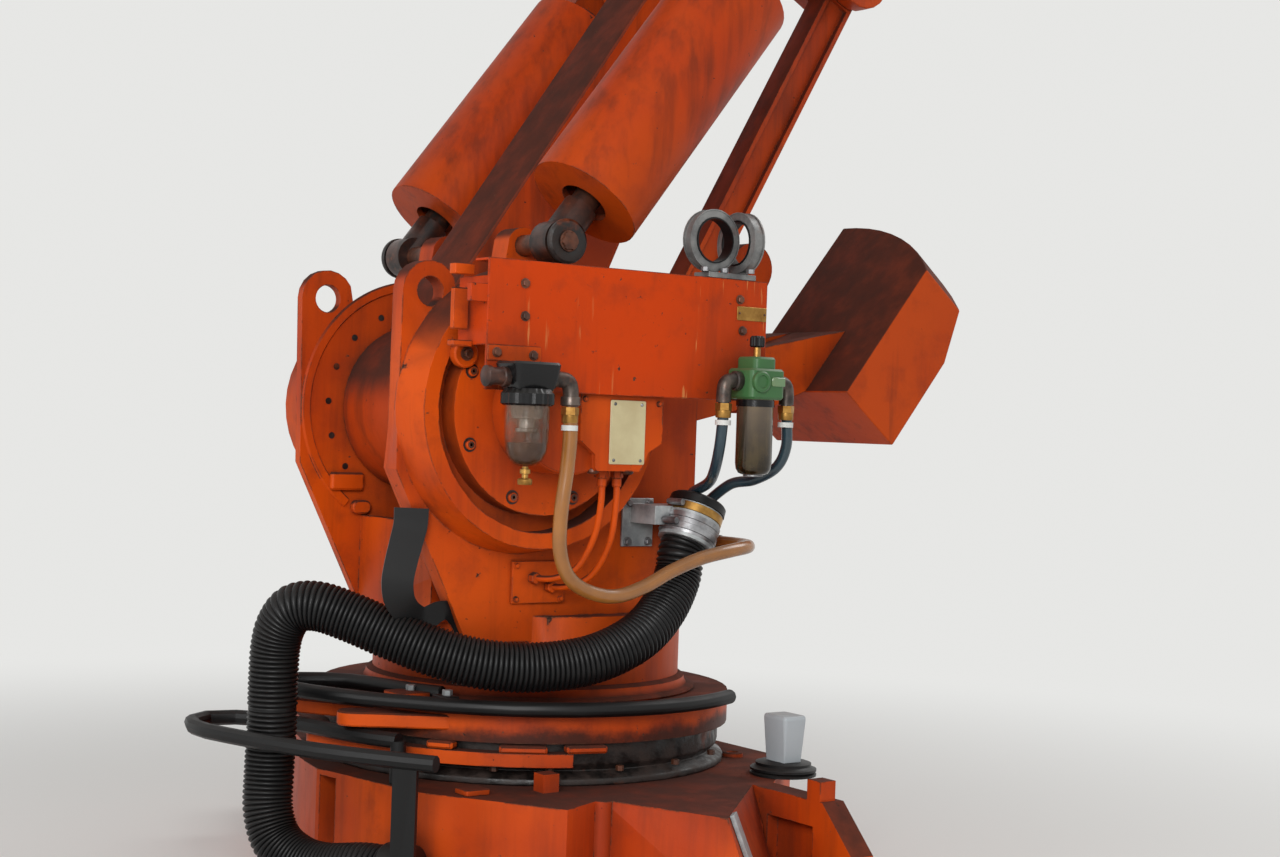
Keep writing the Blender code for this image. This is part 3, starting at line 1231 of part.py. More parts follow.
def make_lever_and_weight():
    pivot = AXIS + LEVER_ARM
    up = Vector((-math.sin(WEIGHT_LEAN), 0, math.cos(WEIGHT_LEAN)))
    out = Vector((math.cos(WEIGHT_LEAN), 0, math.sin(WEIGHT_LEAN)))
    corner = Vector((WEIGHT_X, 0, WEIGHT_Z))
    lever = side_plate(
        "lever", [hull_outline((AXIS_X, AXIS_Z), LEVER_HUB_R, (pivot.x, pivot.z), LEVER_EYE_R)],
        LEVER_IN, LEVER_OUT,
    )
    thrust = cross_rod("thrust", AXIS_X, AXIS_Z, LEVER_OUT - FUSE, CHEEK_IN - GAP, THRUST_R)
    seat_low = corner + out * GAP
    seat_top = seat_low + up * (WEIGHT_SIDE / 2)
    tail = [
        (pivot.x, pivot.z - LEVER_EYE_R), (seat_low.x, seat_low.z), (seat_top.x, seat_top.z),
        (pivot.x - LEVER_EYE_R, pivot.z + LEVER_EYE_R), (pivot.x, pivot.z + LEVER_EYE_R),
    ]
    near_tail = side_plate("near_tail", [tail], LEVER_IN, LEVER_OUT)
    far_ear = side_plate(
        "far_ear", [tail[:4] + arc(pivot.x, pivot.z, LEVER_EYE_R, 90, -90, 9)[:-1]], -LEVER_OUT, -LEVER_IN / 2,
    )
    front = pivot.x - LEVER_REACH / 2
    block = [
        (front, pivot.z - LEVER_EYE_R / 2), (seat_low.x, seat_low.z), (seat_top.x, seat_top.z),
        (front, pivot.z + LEVER_EYE_R),
    ]
    web = side_plate("web", [block], -LEVER_OUT, LEVER_OUT)
    horn = side_plate(
        "horn", [hull_outline((HORN_ROOT_X, HORN_ROOT_Z), HORN_ROOT_R, (HORN_X, HORN_Z), HORN_R)], HORN_FAR, HORN_NEAR,
    )
    hole = cross_rod("lever_hole", pivot.x, pivot.z, -LEVER_OUT - OVERRUN, LEVER_OUT + OVERRUN, BAR_PIN_R + GAP,
                     SMALL_STEPS)
    behind = Matrix.Translation(corner) @ on_lean((0, 0, 0), WEIGHT_LEAN)
    keep_off = flat(
        "weight_room", [[(GAP, -WEIGHT_SIDE), (GAP, WEIGHT_TOP + WEIGHT_SIDE), (-CUTTER_HALF, WEIGHT_TOP + WEIGHT_SIDE),
                         (-CUTTER_HALF, -WEIGHT_SIDE)]], 2 * CUTTER_HALF, behind,
    )
    fuse(lever, thrust, near_tail, far_ear, web, horn)
    cut(lever, hole, keep_off)
    finish(lever, orange(), "lever_body")

    sag = WEIGHT_TOP - WEIGHT_SIDE
    chord = WEIGHT_NEAR - WEIGHT_FAR
    radius = (chord * chord + sag * sag) / (2 * sag)
    sweep = math.degrees(math.asin(chord / radius))
    outline = [(WEIGHT_FAR, 0), (WEIGHT_NEAR, 0)]
    outline += arc(WEIGHT_FAR, WEIGHT_TOP - radius, radius, 90 - sweep, 90, 10)
    middle = corner - out * WEIGHT_THICK / 2
    slab = flat("counterweight", [outline], WEIGHT_THICK, placed(middle, (0, 1, 0), up))
    chamfer = Matrix.Translation(corner - out * WEIGHT_THICK) @ on_lean((0, 0, 0), WEIGHT_LEAN)
    wedge = flat(
        "weight_chamfer",
        [[(-OVERRUN, WEIGHT_SIDE / 2), (WEIGHT_CHAMFER, WEIGHT_TOP + OVERRUN), (-OVERRUN, WEIGHT_TOP + OVERRUN)]],
        2 * CUTTER_HALF, chamfer,
    )
    cut(slab, wedge)
    finish(slab, orange(), "lever_body")

    pin = cross_rod("lever_pin", pivot.x, pivot.z, -LEVER_OUT, LEVER_OUT, BAR_PIN_R, SMALL_STEPS)
    finish(pin, steel(), "lever_pin_body")


def make_bar():
    """The link between lever and upper arm: a channelled bar with an eye at each end."""
    low = AXIS + LEVER_ARM
    high = ELBOW + LEVER_ARM
    length = (high - low).length
    half = BAR_DEPTH / 2
    bar = flat("link_bar", [[(-half, 0), (-half, length), (half, length), (half, 0)]], 2 * BAR_HALF, on_lean(low, LEAN))
    eyes = [cross_rod("bar_eye", p.x, p.z, -BAR_HALF, BAR_HALF, BAR_EYE_R, 32) for p in (low, high)]
    holes = [
        cross_rod("bar_hole", p.x, p.z, -BAR_HALF - OVERRUN, BAR_HALF + OVERRUN, BAR_PIN_R + GAP, SMALL_STEPS)
        for p in (low, high)
    ]
    first = BAR_EYE_R + BAR_RIM
    trough = [(-half + BAR_RIM, first), (half - BAR_RIM, first), (half - BAR_RIM, length - first),
              (-half + BAR_RIM, length - first)]
    for side in (1, -1):
        middle = side * (BAR_HALF - BAR_CHANNEL + OVERRUN)
        holes.append(
            flat("bar_channel", [trough], 2 * OVERRUN, on_lean(low, LEAN) @ Matrix.Translation((0, 0, middle)))
        )
    fuse(bar, *eyes)
    cut(bar, *holes)
    finish(bar, orange(), "bar_body")


def make_housing():
    """The elbow housing with its two ears on the elbow pin and the two lugs for the link bar."""
    rear = ELBOW + LEVER_ARM
    middle = ELBOW.z + ELBOW_RISE
    floor = ELBOW.z + ARM_BOSS_R + HOUSING_CLEAR
    housing = box(
        "elbow_housing", (ELBOW.x + HOUSING_REAR, -HOUSING_HALF, floor),
        (ELBOW.x + HOUSING_FRONT, HOUSING_HALF, floor + HOUSING_HEIGHT), HOUSING_BEVEL,
    )
    pieces = []
    inner = BAR_HALF + EYE_GAP
    for side in (1, -1):
        low, high = sorted((side * EAR_IN, side * EAR_OUT))
        ear = [(ELBOW.x - EAR_R, middle)] + arc(ELBOW.x, ELBOW.z, EAR_R, 180, 360, 15) + [(ELBOW.x + EAR_R, middle)]
        pieces.append(side_plate("ear", [ear, circle(ELBOW.x, ELBOW.z, PIN_R + GAP)], low, high))
        low, high = sorted((side * inner, side * (inner + REAR_LUG)))
        lug = [(ELBOW.x + HOUSING_REAR / 2, floor + FUSE)] + arc(rear.x, rear.z, LEVER_EYE_R, 100, 300, 12)
        pieces.append(side_plate("rear_lug", [lug], low, high))
    pieces.append(cross_rod("bar_pin", rear.x, rear.z, -inner - FUSE, inner + FUSE, BAR_PIN_R, SMALL_STEPS))
    fuse(housing, *pieces)
    finish(housing, orange(), "upper_arm_body")
    return middle


def make_upper_arm():
    pin = cross_rod("elbow_pin", ELBOW.x, ELBOW.z, -PIN_HALF, PIN_HALF, PIN_R)
    finish(pin, steel(), "elbow_body")
    middle = make_housing()
    start = ELBOW.x + HOUSING_FRONT + GAP
    end = start + TUBE_LENGTH
    arm = rod("arm_tube", (start, 0, middle), (end, 0, middle), TUBE_ROOT_R, ROUND_STEPS, TUBE_END_R)
    finish(arm, orange(), "upper_arm_body")
    wrist_x = end + YOKE_LENGTH
    wrist = cross_rod("wrist_housing", wrist_x, middle, -WRIST_HALF, WRIST_HALF, WRIST_R)
    yoke = rod("yoke", (end + GAP, 0, middle), (wrist_x, 0, middle), TUBE_END_R)
    face = wrist_x + TOOL_REACH
    nose = rod("nose", (wrist_x, 0, middle), (face - TOOL_THICK, 0, middle), TOOL_R)
    fuse(wrist, yoke, nose)
    finish(wrist, orange(), "upper_arm_body")
    tool = rod("tool_flange", (face - TOOL_THICK + GAP, 0, middle), (face, 0, middle), TOOL_R)
    finish(tool, steel(), "upper_arm_body")
    low = -WRIST_MOTOR_DROP
    for i, (side, rise) in enumerate(((-1, low), (1, low), (0, WRIST_MOTOR_RISE))):
        place = Vector((ELBOW.x + HOUSING_REAR - GAP, side * WRIST_MOTOR_SPREAD, middle + rise))
        motor = rod(f"wrist_motor_{i + 1}", place, place - Vector((WRIST_MOTOR_LENGTH, 0, 0)), WRIST_MOTOR_R, 28)
        finish(motor, orange(), "upper_arm_body")


def main():
    clear_scene()
    make_bodies()
    make_base()
    make_base_fittings()
    make_frame()
    make_side_fittings()
    make_guard()
    make_pipe_clamps()
    make_air_units()
    make_hoses()
    make_guide_and_strap()
    make_lower_arm()
    make_cylinders()
    make_lever_and_weight()
    make_bar()
    make_upper_arm()


main()
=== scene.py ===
"""Looks of the industrial robot arm: worn orange castings, rubber hoses, air units and their small fittings."""
import json
import math

import bmesh
import bpy
import numpy as np
from mathutils import Matrix, Vector


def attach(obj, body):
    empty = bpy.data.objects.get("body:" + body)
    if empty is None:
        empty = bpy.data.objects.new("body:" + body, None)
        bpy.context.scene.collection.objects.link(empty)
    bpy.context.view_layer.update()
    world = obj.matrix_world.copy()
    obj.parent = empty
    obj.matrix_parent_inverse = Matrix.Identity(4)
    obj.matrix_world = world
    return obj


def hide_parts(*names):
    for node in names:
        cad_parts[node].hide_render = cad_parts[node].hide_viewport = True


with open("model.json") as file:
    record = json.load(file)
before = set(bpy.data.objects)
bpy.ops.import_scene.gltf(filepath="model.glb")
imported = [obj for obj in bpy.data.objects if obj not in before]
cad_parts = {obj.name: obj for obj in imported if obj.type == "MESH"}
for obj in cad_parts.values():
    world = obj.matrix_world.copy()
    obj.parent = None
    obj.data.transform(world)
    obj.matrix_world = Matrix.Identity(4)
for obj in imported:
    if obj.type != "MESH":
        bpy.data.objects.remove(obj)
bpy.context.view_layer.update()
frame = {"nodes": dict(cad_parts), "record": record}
NODE_BODY = {node: body for body, nodes in frame["record"]["behaviour"]["bodies"].items() for node in nodes}
NODE_SLOT = {part["node"]: part["material_slot"] for part in frame["record"]["subparts"]}


def srgb(red, green, blue):
    """A colour as it is read off a screen, 0 to 255, turned into linear light."""
    shares = np.array([red, green, blue]) / 255
    linear = np.where(shares <= 0.04045, shares / 12.92, ((shares + 0.055) / 1.055) ** 2.4)
    return (*[float(x) for x in linear], 1.0)


class Wire:
    """An output socket; arithmetic on it adds the Math nodes that work it out."""

    def __init__(self, nodes, socket):
        self.nodes = nodes
        self.socket = socket

    def sum_with(self, operation, first, second):
        return self.nodes.add("ShaderNodeMath", {"operation": operation}, {0: first, 1: second})

    def __add__(self, other):
        return self.sum_with("ADD", self, other)

    def __radd__(self, other):
        return self.sum_with("ADD", other, self)

    def __sub__(self, other):
        return self.sum_with("SUBTRACT", self, other)

    def __rsub__(self, other):
        return self.sum_with("SUBTRACT", other, self)

    def __mul__(self, other):
        return self.sum_with("MULTIPLY", self, other)

    def __rmul__(self, other):
        return self.sum_with("MULTIPLY", other, self)


class Nodes:
    """A node tree being filled: add() takes a node's type, its settings, its sockets' values and the output."""

    def __init__(self, tree):
        self.tree = tree
        tree.nodes.clear()

    def add(self, kind, settings, values, out=0):
        node = self.tree.nodes.new(kind)
        for name, value in settings.items():
            setattr(node, name, value)
        for name, value in values.items():
            if isinstance(value, Wire):
                self.tree.links.new(value.socket, node.inputs[name])
            else:
                node.inputs[name].default_value = value
        return Wire(self, node.outputs[out]) if node.outputs else None

    def step(self, value, low, high, end_low=0.0, end_high=1.0):
        """Smooth step of a value from low to high."""
        return self.add(
            "ShaderNodeMapRange", {"interpolation_type": "SMOOTHSTEP"},
            {"Value": value, "From Min": low, "From Max": high, "To Min": end_low, "To Max": end_high},
        )

    def background_rays(self):
        """1 for rays that show the background: straight from the camera, off gloss or through glass."""
        camera, glossy, glass = (self.add("ShaderNodeLightPath", {}, {}, f"Is {kind} Ray")
                                 for kind in ("Camera", "Glossy", "Transmission"))
        return self.step(camera + glossy + glass, 0.0, 1.0)

    def shown(self, surface, target):
        """Puts the surface on an output node of the given type."""
        self.add(target, {}, {"Surface": surface})


class Finish(Nodes):
    """A material being made, with short names for the nodes that it uses often."""

    def __init__(self, name):
        self.material = bpy.data.materials.new(name)
        self.material.use_nodes = True
        super().__init__(self.material.node_tree)
        self.place = self.add("ShaderNodeTexCoord", {}, {}, "Object")

    def noise(self, scale, detail=4.0, roughness=0.55, place=None):
        values = {"Vector": place or self.place, "Scale": scale, "Detail": detail, "Roughness": roughness}
        return self.add("ShaderNodeTexNoise", {}, values)

    def mix(self, share, first, second):
        return self.add(
            "ShaderNodeMix", {"data_type": "RGBA", "clamp_factor": True}, {0: share, 6: first, 7: second}, 2,
        )

    def stretch(self, scale, turn=(0, 0, 0)):
        return self.add("ShaderNodeMapping", {}, {"Vector": self.place, "Scale": scale, "Rotation": turn})

    def axis(self, name):
        return self.add("ShaderNodeSeparateXYZ", {}, {0: self.place}, name)

    def bump(self, height, distance, strength):
        return self.add("ShaderNodeBump", {}, {"Height": height, "Distance": distance, "Strength": strength})

    def rim(self, radius):
        """About 1 on outer edges and 0 on flat faces: how far a rounded normal leans from the true one."""
        soft = self.add("ShaderNodeBevel", {"samples": 6}, {"Radius": radius})
        true = self.add("ShaderNodeNewGeometry", {}, {}, "True Normal")
        same = self.add("ShaderNodeVectorMath", {"operation": "DOT_PRODUCT"}, {0: soft, 1: true}, "Value")
        return 1 - same

    def shelter(self, reach):
        """About 1 deep in corners and recesses and 0 on open faces."""
        open_share = self.add("ShaderNodeAmbientOcclusion", {"samples": 4}, {"Distance": reach}, "AO")
        return 1 - open_share

    def upward(self):
        """The face normal's height share, 1 on faces that look up."""
        normal = self.add("ShaderNodeNewGeometry", {}, {}, "Normal")
        return self.add("ShaderNodeSeparateXYZ", {}, {0: normal}, "Z")

    def shader(self, colour, roughness, **other):
        """The surface's shader; the other sockets are named with _ for each blank."""
        values = {"Base Color": colour, "Roughness": roughness}
        values.update({name.replace("_", " "): value for name, value in other.items()})
        return self.add("ShaderNodeBsdfPrincipled", {}, values)

    def done(self, colour, roughness, metallic, normal, **other):
        """The material with its shader on the output."""
        self.shown(self.shader(colour, roughness, Metallic=metallic, Normal=normal, **other),
                   "ShaderNodeOutputMaterial")
        return self.material


def painted(name, colour, chips=0.5, grime=0.5, scratch=0.0, grease_top=0.0, dust_and_shade_from=0.2):
    """Old machine paint on a casting: faded patches, brown dust and painted shade on top faces, dark corners of dirt
    and painted shade, chips and streaks. Grease reaches up to grease_top in metres, and the dust and shade lie from
    an upward share of dust_and_shade_from on."""
    f = Finish(name)
    broad = f.noise(2.3, 3.0)
    mid = f.noise(14.0, 5.0, 0.6)
    fine = f.noise(160.0, 3.0)
    rusty = f.noise(38.0, 5.0, 0.7)
    # Faded patches, dirt that has run down, and darkening in corners and recesses: dirt there and painted shade.
    paint = f.mix(f.step(broad, 0.38, 0.66), colour, srgb(172, 56, 12))
    paint = f.mix(f.step(mid, 0.50, 0.75, 0.0, 0.45), paint, srgb(138, 48, 20))
    streak = f.noise(1.0, 4.0, 0.6, f.stretch((34.0, 34.0, 2.6)))
    dirty = f.step(streak * 0.55 + broad * 0.45, 0.47, 0.66) * grime
    paint = f.mix(dirty * 0.6, paint, srgb(82, 36, 20))
    # Painted shade with dirt: darker deep in corners and recesses, from ambient occlusion.
    corner = f.step(f.shelter(0.07), 0.12, 0.62) * f.step(mid, 0.2, 0.7, 0.55, 1.0)
    paint = f.mix(corner * (0.35 + 0.4 * grime), paint, srgb(58, 30, 20))
    # Dust and painted shade on whatever looks up, and grease up to a height.
    # Painted shade: faces that look up are darkened brown, as well as dusty.
    dust = f.step(f.upward(), dust_and_shade_from, dust_and_shade_from + 0.45) * f.step(mid, 0.25, 0.6, 0.84, 1.0)
    paint = f.mix(dust * 0.92, paint, srgb(56, 34, 27))
    if grease_top:
        height = f.axis("Z")
        near = f.step(height, grease_top - 0.05, grease_top + 0.012, 0.62, 0.0) * f.step(height, 0.15, 0.24)
        smear = f.step(near + f.noise(7.0, 6.0, 0.72) * 0.9, 0.66, 1.02) * 0.9
        paint = f.mix(smear, paint, srgb(36, 23, 18))
    # Paint gone from the edges and in spots, and scratches down to the primer.
    edge = f.step(f.rim(0.005) + rusty * 0.10, 0.105, 0.15) * f.step(mid, 0.42, 0.56)
    spots = f.step(f.noise(62.0, 5.0, 0.7), 0.70 - 0.05 * chips, 0.72 - 0.05 * chips)
    lines = f.noise(1.0, 3.0, 0.5, f.stretch((90.0, 4.0, 7.0), (0.0, 0.6, 0.0)))
    scraped = f.step(lines, 0.655, 0.70) * f.step(broad, 0.40, 0.52) * scratch * 0.7
    bare = f.step((edge + spots) * chips, 0.2, 0.45)
    metal = f.mix(f.step(fine, 0.4, 0.6), srgb(46, 30, 24), srgb(92, 58, 42))
    tone = f.mix(bare, f.mix(scraped, paint, srgb(206, 132, 74)), metal)
    rough = 0.40 + dust * 0.4 + mid * 0.14 + corner * 0.2 + bare * 0.2
    height = f.noise(90.0, 4.0, 0.6) * 0.6 + fine * 0.25 + broad * 0.3 - bare * 0.4
    return f.done(tone, rough, 0.0, f.bump(height, 0.0012, 0.4), Specular_IOR_Level=0.18)


def greasy(name):
    """Black grease and dust packed on machined iron, with rust where it has worn through."""
    f = Finish(name)
    lumps = f.noise(26.0, 6.0, 0.65)
    fine = f.noise(180.0, 3.0)
    worn = f.step(f.noise(7.0, 5.0, 0.65), 0.56, 0.66)
    tone = f.mix(f.step(lumps, 0.35, 0.7), srgb(16, 13, 12), srgb(46, 32, 26))
    tone = f.mix(worn * 0.8, tone, srgb(124, 58, 28))
    rough = f.step(lumps, 0.3, 0.7, 0.28, 0.75)
    return f.done(tone, rough, 0.0, f.bump(lumps * 0.8 + fine * 0.2, 0.003, 0.6))


def worn_steel(name, low=(96, 96, 98), high=(176, 176, 178), rust=0.25, metallic=0.85, scale=20.0):
    """Turned or plated steel: fine brushing, dull spots, a little rust, and painted shade that darkens its recesses.
    """
    f = Finish(name)
    patches = f.noise(scale, 5.0, 0.6)
    fine = f.noise(240.0, 3.0)
    tone = f.mix(f.step(patches, 0.3, 0.7), srgb(*low), srgb(*high))
    tone = f.mix(f.step(f.noise(31.0, 6.0, 0.7), 0.56, 0.70, 0.0, rust), tone, srgb(112, 58, 32))
    # Painted shade: darker in the recesses.
    tone = f.mix(f.step(f.shelter(0.012), 0.2, 0.7) * 0.6, tone, srgb(34, 26, 22))
    rough = f.step(patches, 0.3, 0.7, 0.5, 0.3)
    return f.done(tone, rough, metallic, f.bump(fine * 0.5 + patches * 0.5, 0.0006, 0.35))


def rubber(name, colour=(12, 12, 13), dusty=(44, 39, 36), rough=0.38):
    """Black rubber or plastic with settled workshop dust."""
    f = Finish(name)
    patches = f.noise(9.0, 5.0, 0.6)
    fine = f.noise(300.0, 2.0)
    dust = f.step(f.upward(), 0.2, 0.95, 0.03, 0.5) * f.step(patches, 0.3, 0.65, 0.3, 1.0)
    tone = f.mix(dust, srgb(*colour), srgb(*dusty))
    return f.done(tone, rough + dust * 0.45, 0.0, f.bump(fine, 0.0004, 0.25), Specular_IOR_Level=0.3)


def clear_tube(name, colour, dusty, rough=0.25, coat=0.3):
    """Amber or tinted plastic, slightly see-through in look, with dust on its top."""
    f = Finish(name)
    patches = f.noise(16.0, 4.0, 0.55)
    dust = f.step(f.upward(), 0.3, 0.95, 0.02, 0.5) * f.step(patches, 0.3, 0.6, 0.4, 1.0)
    tone = f.mix(f.step(patches, 0.3, 0.7, 0.0, 0.5), srgb(*colour), srgb(*dusty))
    tone = f.mix(dust, tone, srgb(112, 86, 64))
    return f.done(tone, rough + dust * 0.4, 0.0, f.bump(patches, 0.0004, 0.2), Coat_Weight=coat)


def cloudy_bowl(name, low, high, rust, painted_view_through, clear=0.0, metallic=0.0):
    """Stained clear plastic: brown film and runs over the colour painted_view_through,
    with a painted sheen that makes it paler towards the top.
    """
    f = Finish(name)
    height = f.axis("Z")
    film = f.noise(22.0, 5.0, 0.6)
    run = f.noise(1.0, 4.0, 0.6, f.stretch((60.0, 60.0, 6.0)))
    level = f.step(height, low, high)
    # painted_view_through paints the view through the plastic: the orange disc behind the filter bowl, the oil in the
    # jar.
    tone = f.mix(f.step(film * 0.5 + run * 0.5, 0.38, 0.62), srgb(*rust), srgb(*painted_view_through))
    # Painted sheen: paler from the height low up to high.
    tone = f.mix(level * 0.3, tone, srgb(166, 146, 126))
    solid = 1 - f.step(film * 0.5 + run * 0.5, 0.38, 0.62, 0.35, 1.0) * clear
    return f.done(tone, 0.07 + film * 0.14, metallic, f.bump(film, 0.0004, 0.15), Coat_Weight=0.25, Alpha=solid)


ORANGE = painted("orange_casting", srgb(206, 78, 8))
VERMILION = painted("vermilion_plate", srgb(196, 60, 0), chips=1.0, grime=0.55, scratch=1.0)
# DARK_ORANGE, ARM_ORANGE and CYLINDER_ORANGE are darker copies of the orange paint: painted shade as well as dust.
DARK_ORANGE = painted("shaded_dusty_casting", srgb(190, 70, 12), grime=0.9)
ARM_ORANGE = painted("shaded_dusty_arm", srgb(176, 62, 14), grime=1.0, dust_and_shade_from=-0.05)
CYLINDER_ORANGE = painted("cylinder_paint", srgb(180, 66, 10), grime=0.9, dust_and_shade_from=0.5)
FRAME_ORANGE = painted("frame_casting", srgb(206, 78, 8), chips=0.6, grime=0.6, grease_top=0.362)
BASE_ORANGE = painted("base_casting", srgb(206, 78, 10), chips=0.6)
GREASE = greasy("black_grease")
STEEL = worn_steel("worn_steel")
GALVANISED = worn_steel("galvanised", (124, 128, 130), (184, 188, 188), metallic=0.3)
RUSTY = worn_steel("rusty_steel", (58, 34, 24), (112, 66, 46), rust=0.9, metallic=0.25, scale=34.0)
GREASED = worn_steel("greased_rod", (22, 17, 15), (74, 42, 30), rust=0.8, metallic=0.2, scale=30.0)
DARK_STEEL = worn_steel("dark_fittings", (44, 40, 38), (104, 92, 84), rust=0.35, metallic=0.6, scale=26.0)
BRASS = worn_steel("brass", (122, 84, 36), (186, 142, 74), rust=0.15)
BLACK = rubber("dusty_rubber")
ROD_BLACK = rubber("black_rod", (9, 9, 10), (34, 30, 28), rough=0.42)
PLASTIC = rubber("black_plastic", (18, 18, 19), (58, 54, 50), rough=0.22)
GREY = rubber("grey_plastic", (176, 182, 186), (150, 146, 140), rough=0.4)
GREEN = rubber("green_enamel", (62, 104, 62), (88, 88, 66), rough=0.3)
AMBER = clear_tube("amber_hose", (158, 102, 44), (124, 80, 40))
TEAL = clear_tube("teal_hose", (30, 56, 68), (50, 64, 68))
PALE_GREEN = clear_tube("level_window", (98, 134, 92), (120, 130, 84), rough=0.12, coat=0.5)
ELEMENT = worn_steel("filter_element", (104, 92, 82), (206, 200, 190), rust=0.4, metallic=0.6)
OLD_ZINC = worn_steel("old_zinc", (92, 92, 92), (140, 140, 138), rust=0.3, metallic=0.35)
SUMP = clear_tube("brown_water", (74, 46, 30), (52, 34, 24), rough=0.15, coat=0.4)
# The stained bowl's second colour is the painted view of the orange disc behind it.
BOWL = cloudy_bowl("stained_bowl", 0.83, 0.90, (66, 42, 28), (104, 78, 58), clear=0.95)
OILY = cloudy_bowl("oily_bowl", 0.80, 0.93, (26, 20, 12), (70, 57, 32), metallic=0.45)
CREAM = clear_tube("cream_plate", (204, 192, 150), (172, 152, 112), rough=0.45, coat=0.0)
WHITE = rubber("white_band", (210, 210, 206), (150, 140, 128))
BY_SLOT = {
    "orange_casting": ORANGE, "vermilion_plate": VERMILION, "greasy_iron": GREASE, "steel": STEEL,
    "black_rubber": BLACK, "black_rod": ROD_BLACK, "black_plastic": PLASTIC, "grey_plastic": GREY,
    "clear_plastic": BOWL, "green_enamel": GREEN, "oily_metal": OILY, "amber_hose": AMBER, "teal_hose": TEAL,
}
BY_NODE = {"pipe_clamps": OLD_ZINC, "foot_rail": GALVANISED, "near_rod": GREASED, "far_rod": GREASED,
           "near_spring_pin": RUSTY, "far_spring_pin": RUSTY, "lower_arm": ARM_ORANGE,
           "near_cylinder": CYLINDER_ORANGE, "far_cylinder": CYLINDER_ORANGE, "link_bar": DARK_ORANGE,
           "base_casting": BASE_ORANGE, "turning_frame": FRAME_ORANGE, "hose_coupling": GALVANISED,
           "counterweight": DARK_ORANGE, "air_outlet": DARK_STEEL}


FRONT, REAR = (1, 0, 0), (-1, 0, 0)
LEFT, RIGHT = (0, 1, 0), (0, -1, 0)
UP, DOWN = (0, 0, 1), (0, 0, -1)
SHARP, SMOOTH = 32, 60  # degrees between faces from which an edge stays sharp: on machined pieces, on hoses


def unit(rows, axis=None):
    """A vector, or each of many rows, divided by its length."""
    return rows / np.linalg.norm(rows, axis=axis, keepdims=axis is not None)


def once_round(count):
    """Even steps once round: t = 2 pi i / count."""
    return np.arange(count) / count * 2 * math.pi


def basis(axis):
    """Three unit rows: level across, over and along an axis."""
    ahead = unit(np.array(axis, float))
    across = np.cross(UP, ahead)
    if np.linalg.norm(across) < 1e-6:
        across = np.array((1.0, 0.0, 0.0))
    across = unit(across)
    return np.array([across, np.cross(ahead, across), ahead])


def put(rings, origin, axis=UP):
    """Rings given round their own height axis, moved so that this axis runs along the given direction."""
    return rings @ basis(axis) + np.array(origin, float)


def circle(radius, count=24):
    """x = r cos t, y = r sin t for t once round."""
    t = once_round(count)
    return np.stack([radius * np.cos(t), radius * np.sin(t)], 1)


def hexagon(flats, count=24):
    """A circle whose radius is the hexagon's half width over flats divided by the cosine from the nearest flat."""
    t = once_round(count)
    r = flats / 2 / np.cos((t + math.pi / 6) % (math.pi / 3) - math.pi / 6)
    return np.stack([r * np.cos(t), r * np.sin(t)], 1)


def rounded(width, height, corner, count=5):
    """A rectangle with quarter-circle corners: corner centre plus corner radius times (cos t, sin t)."""
    t = np.linspace(0, math.pi / 2, count)
    rows = []
    for turn, (sx, sy) in enumerate(((1, 1), (-1, 1), (-1, -1), (1, -1))):
        middle = np.array([sx * (width / 2 - corner), sy * (height / 2 - corner)])
        a = t + turn * math.pi / 2
        rows.append(middle + corner * np.stack([np.cos(a), np.sin(a)], 1))
    return np.concatenate(rows)


def raised(flat, steps):
    """Flat rings lifted to the heights in the second column of the steps."""
    return np.concatenate([flat, np.broadcast_to(steps[:, 1, None, None], flat.shape[:2] + (1,))], 2)


def stack(outline, profile):
    """Rings of an outline; each is the outline moved inward by the profile's inset, at the profile's height."""
    ahead = np.roll(outline, -1, 0) - np.roll(outline, 1, 0)
    inward = unit(np.stack([-ahead[:, 1], ahead[:, 0]], 1), 1)
    steps = np.array(profile, float)
    return raised(outline[None] + inward[None] * steps[:, 0, None, None], steps)


def lathe(profile, count=32):
    """Rings of radius r at height h, one for each (r, h) of the profile."""
    steps = np.array(profile, float)
    return raised(circle(1.0, count)[None] * steps[:, 0, None, None], steps)


def fluted(rows):
    """Rings whose radius changes round the axis: x = r(t) cos t, y = r(t) sin t, for each (r, height) of the rows."""
    t = once_round(len(rows[0][0]))
    return np.stack([np.stack([r * np.cos(t), r * np.sin(t), np.full(len(t), z)], 1) for r, z in rows])


def turned(profile, count, at, way=UP):
    """A lathe form that stands on a place, its axis along a direction."""
    return put(lathe(profile, count), at, way)


def plate(width, height, corner, profile, at, way=UP):
    """A rounded rectangle, stacked by its profile, that stands on a place."""
    return put(stack(rounded(width, height, corner), profile), at, way)


def block(low, high, corner=0.002, lift=0.0012):
    """A box between two corner points, with rounded upright edges and a broken top and bottom."""
    low, high = np.array(low), np.array(high)
    size = high - low
    middle = (low + high) / 2
    return plate(size[0], size[1], corner, [(lift, 0), (0, lift), (0, size[2] - lift), (lift, size[2])],
                 (middle[0], middle[1], low[2]))


def nut(at, way, flats, height):
    """A hexagon with broken corners, standing on its seat along a direction."""
    c = flats * 0.06
    return put(stack(hexagon(flats), [(0, 0), (0, height - c), (c, height)]), at, way)


def bolts(places, way, flats, height, washer):
    """A hexagon head on a round washer, at each place."""
    rows = []
    for at in places:
        rows.append(turned([(washer, 0), (washer, washer * 0.16), (washer * 0.9, washer * 0.2)], 24, at, way))
        rows.append(nut(np.array(at) + np.array(way) * washer * 0.2, way, flats, height))
    return rows


def on_face(y, *places):
    """Places (x, z) on a face across Y."""
    return [(x, y, z) for x, z in places]


def round_axis(x, z, radius, y, angles):
    """Places on a circle round a level axis along Y: (x + r cos a, y, z + r sin a), the angles in degrees."""
    return [(x + radius * math.cos(a), y, z + radius * math.sin(a)) for a in map(math.radians, angles)]


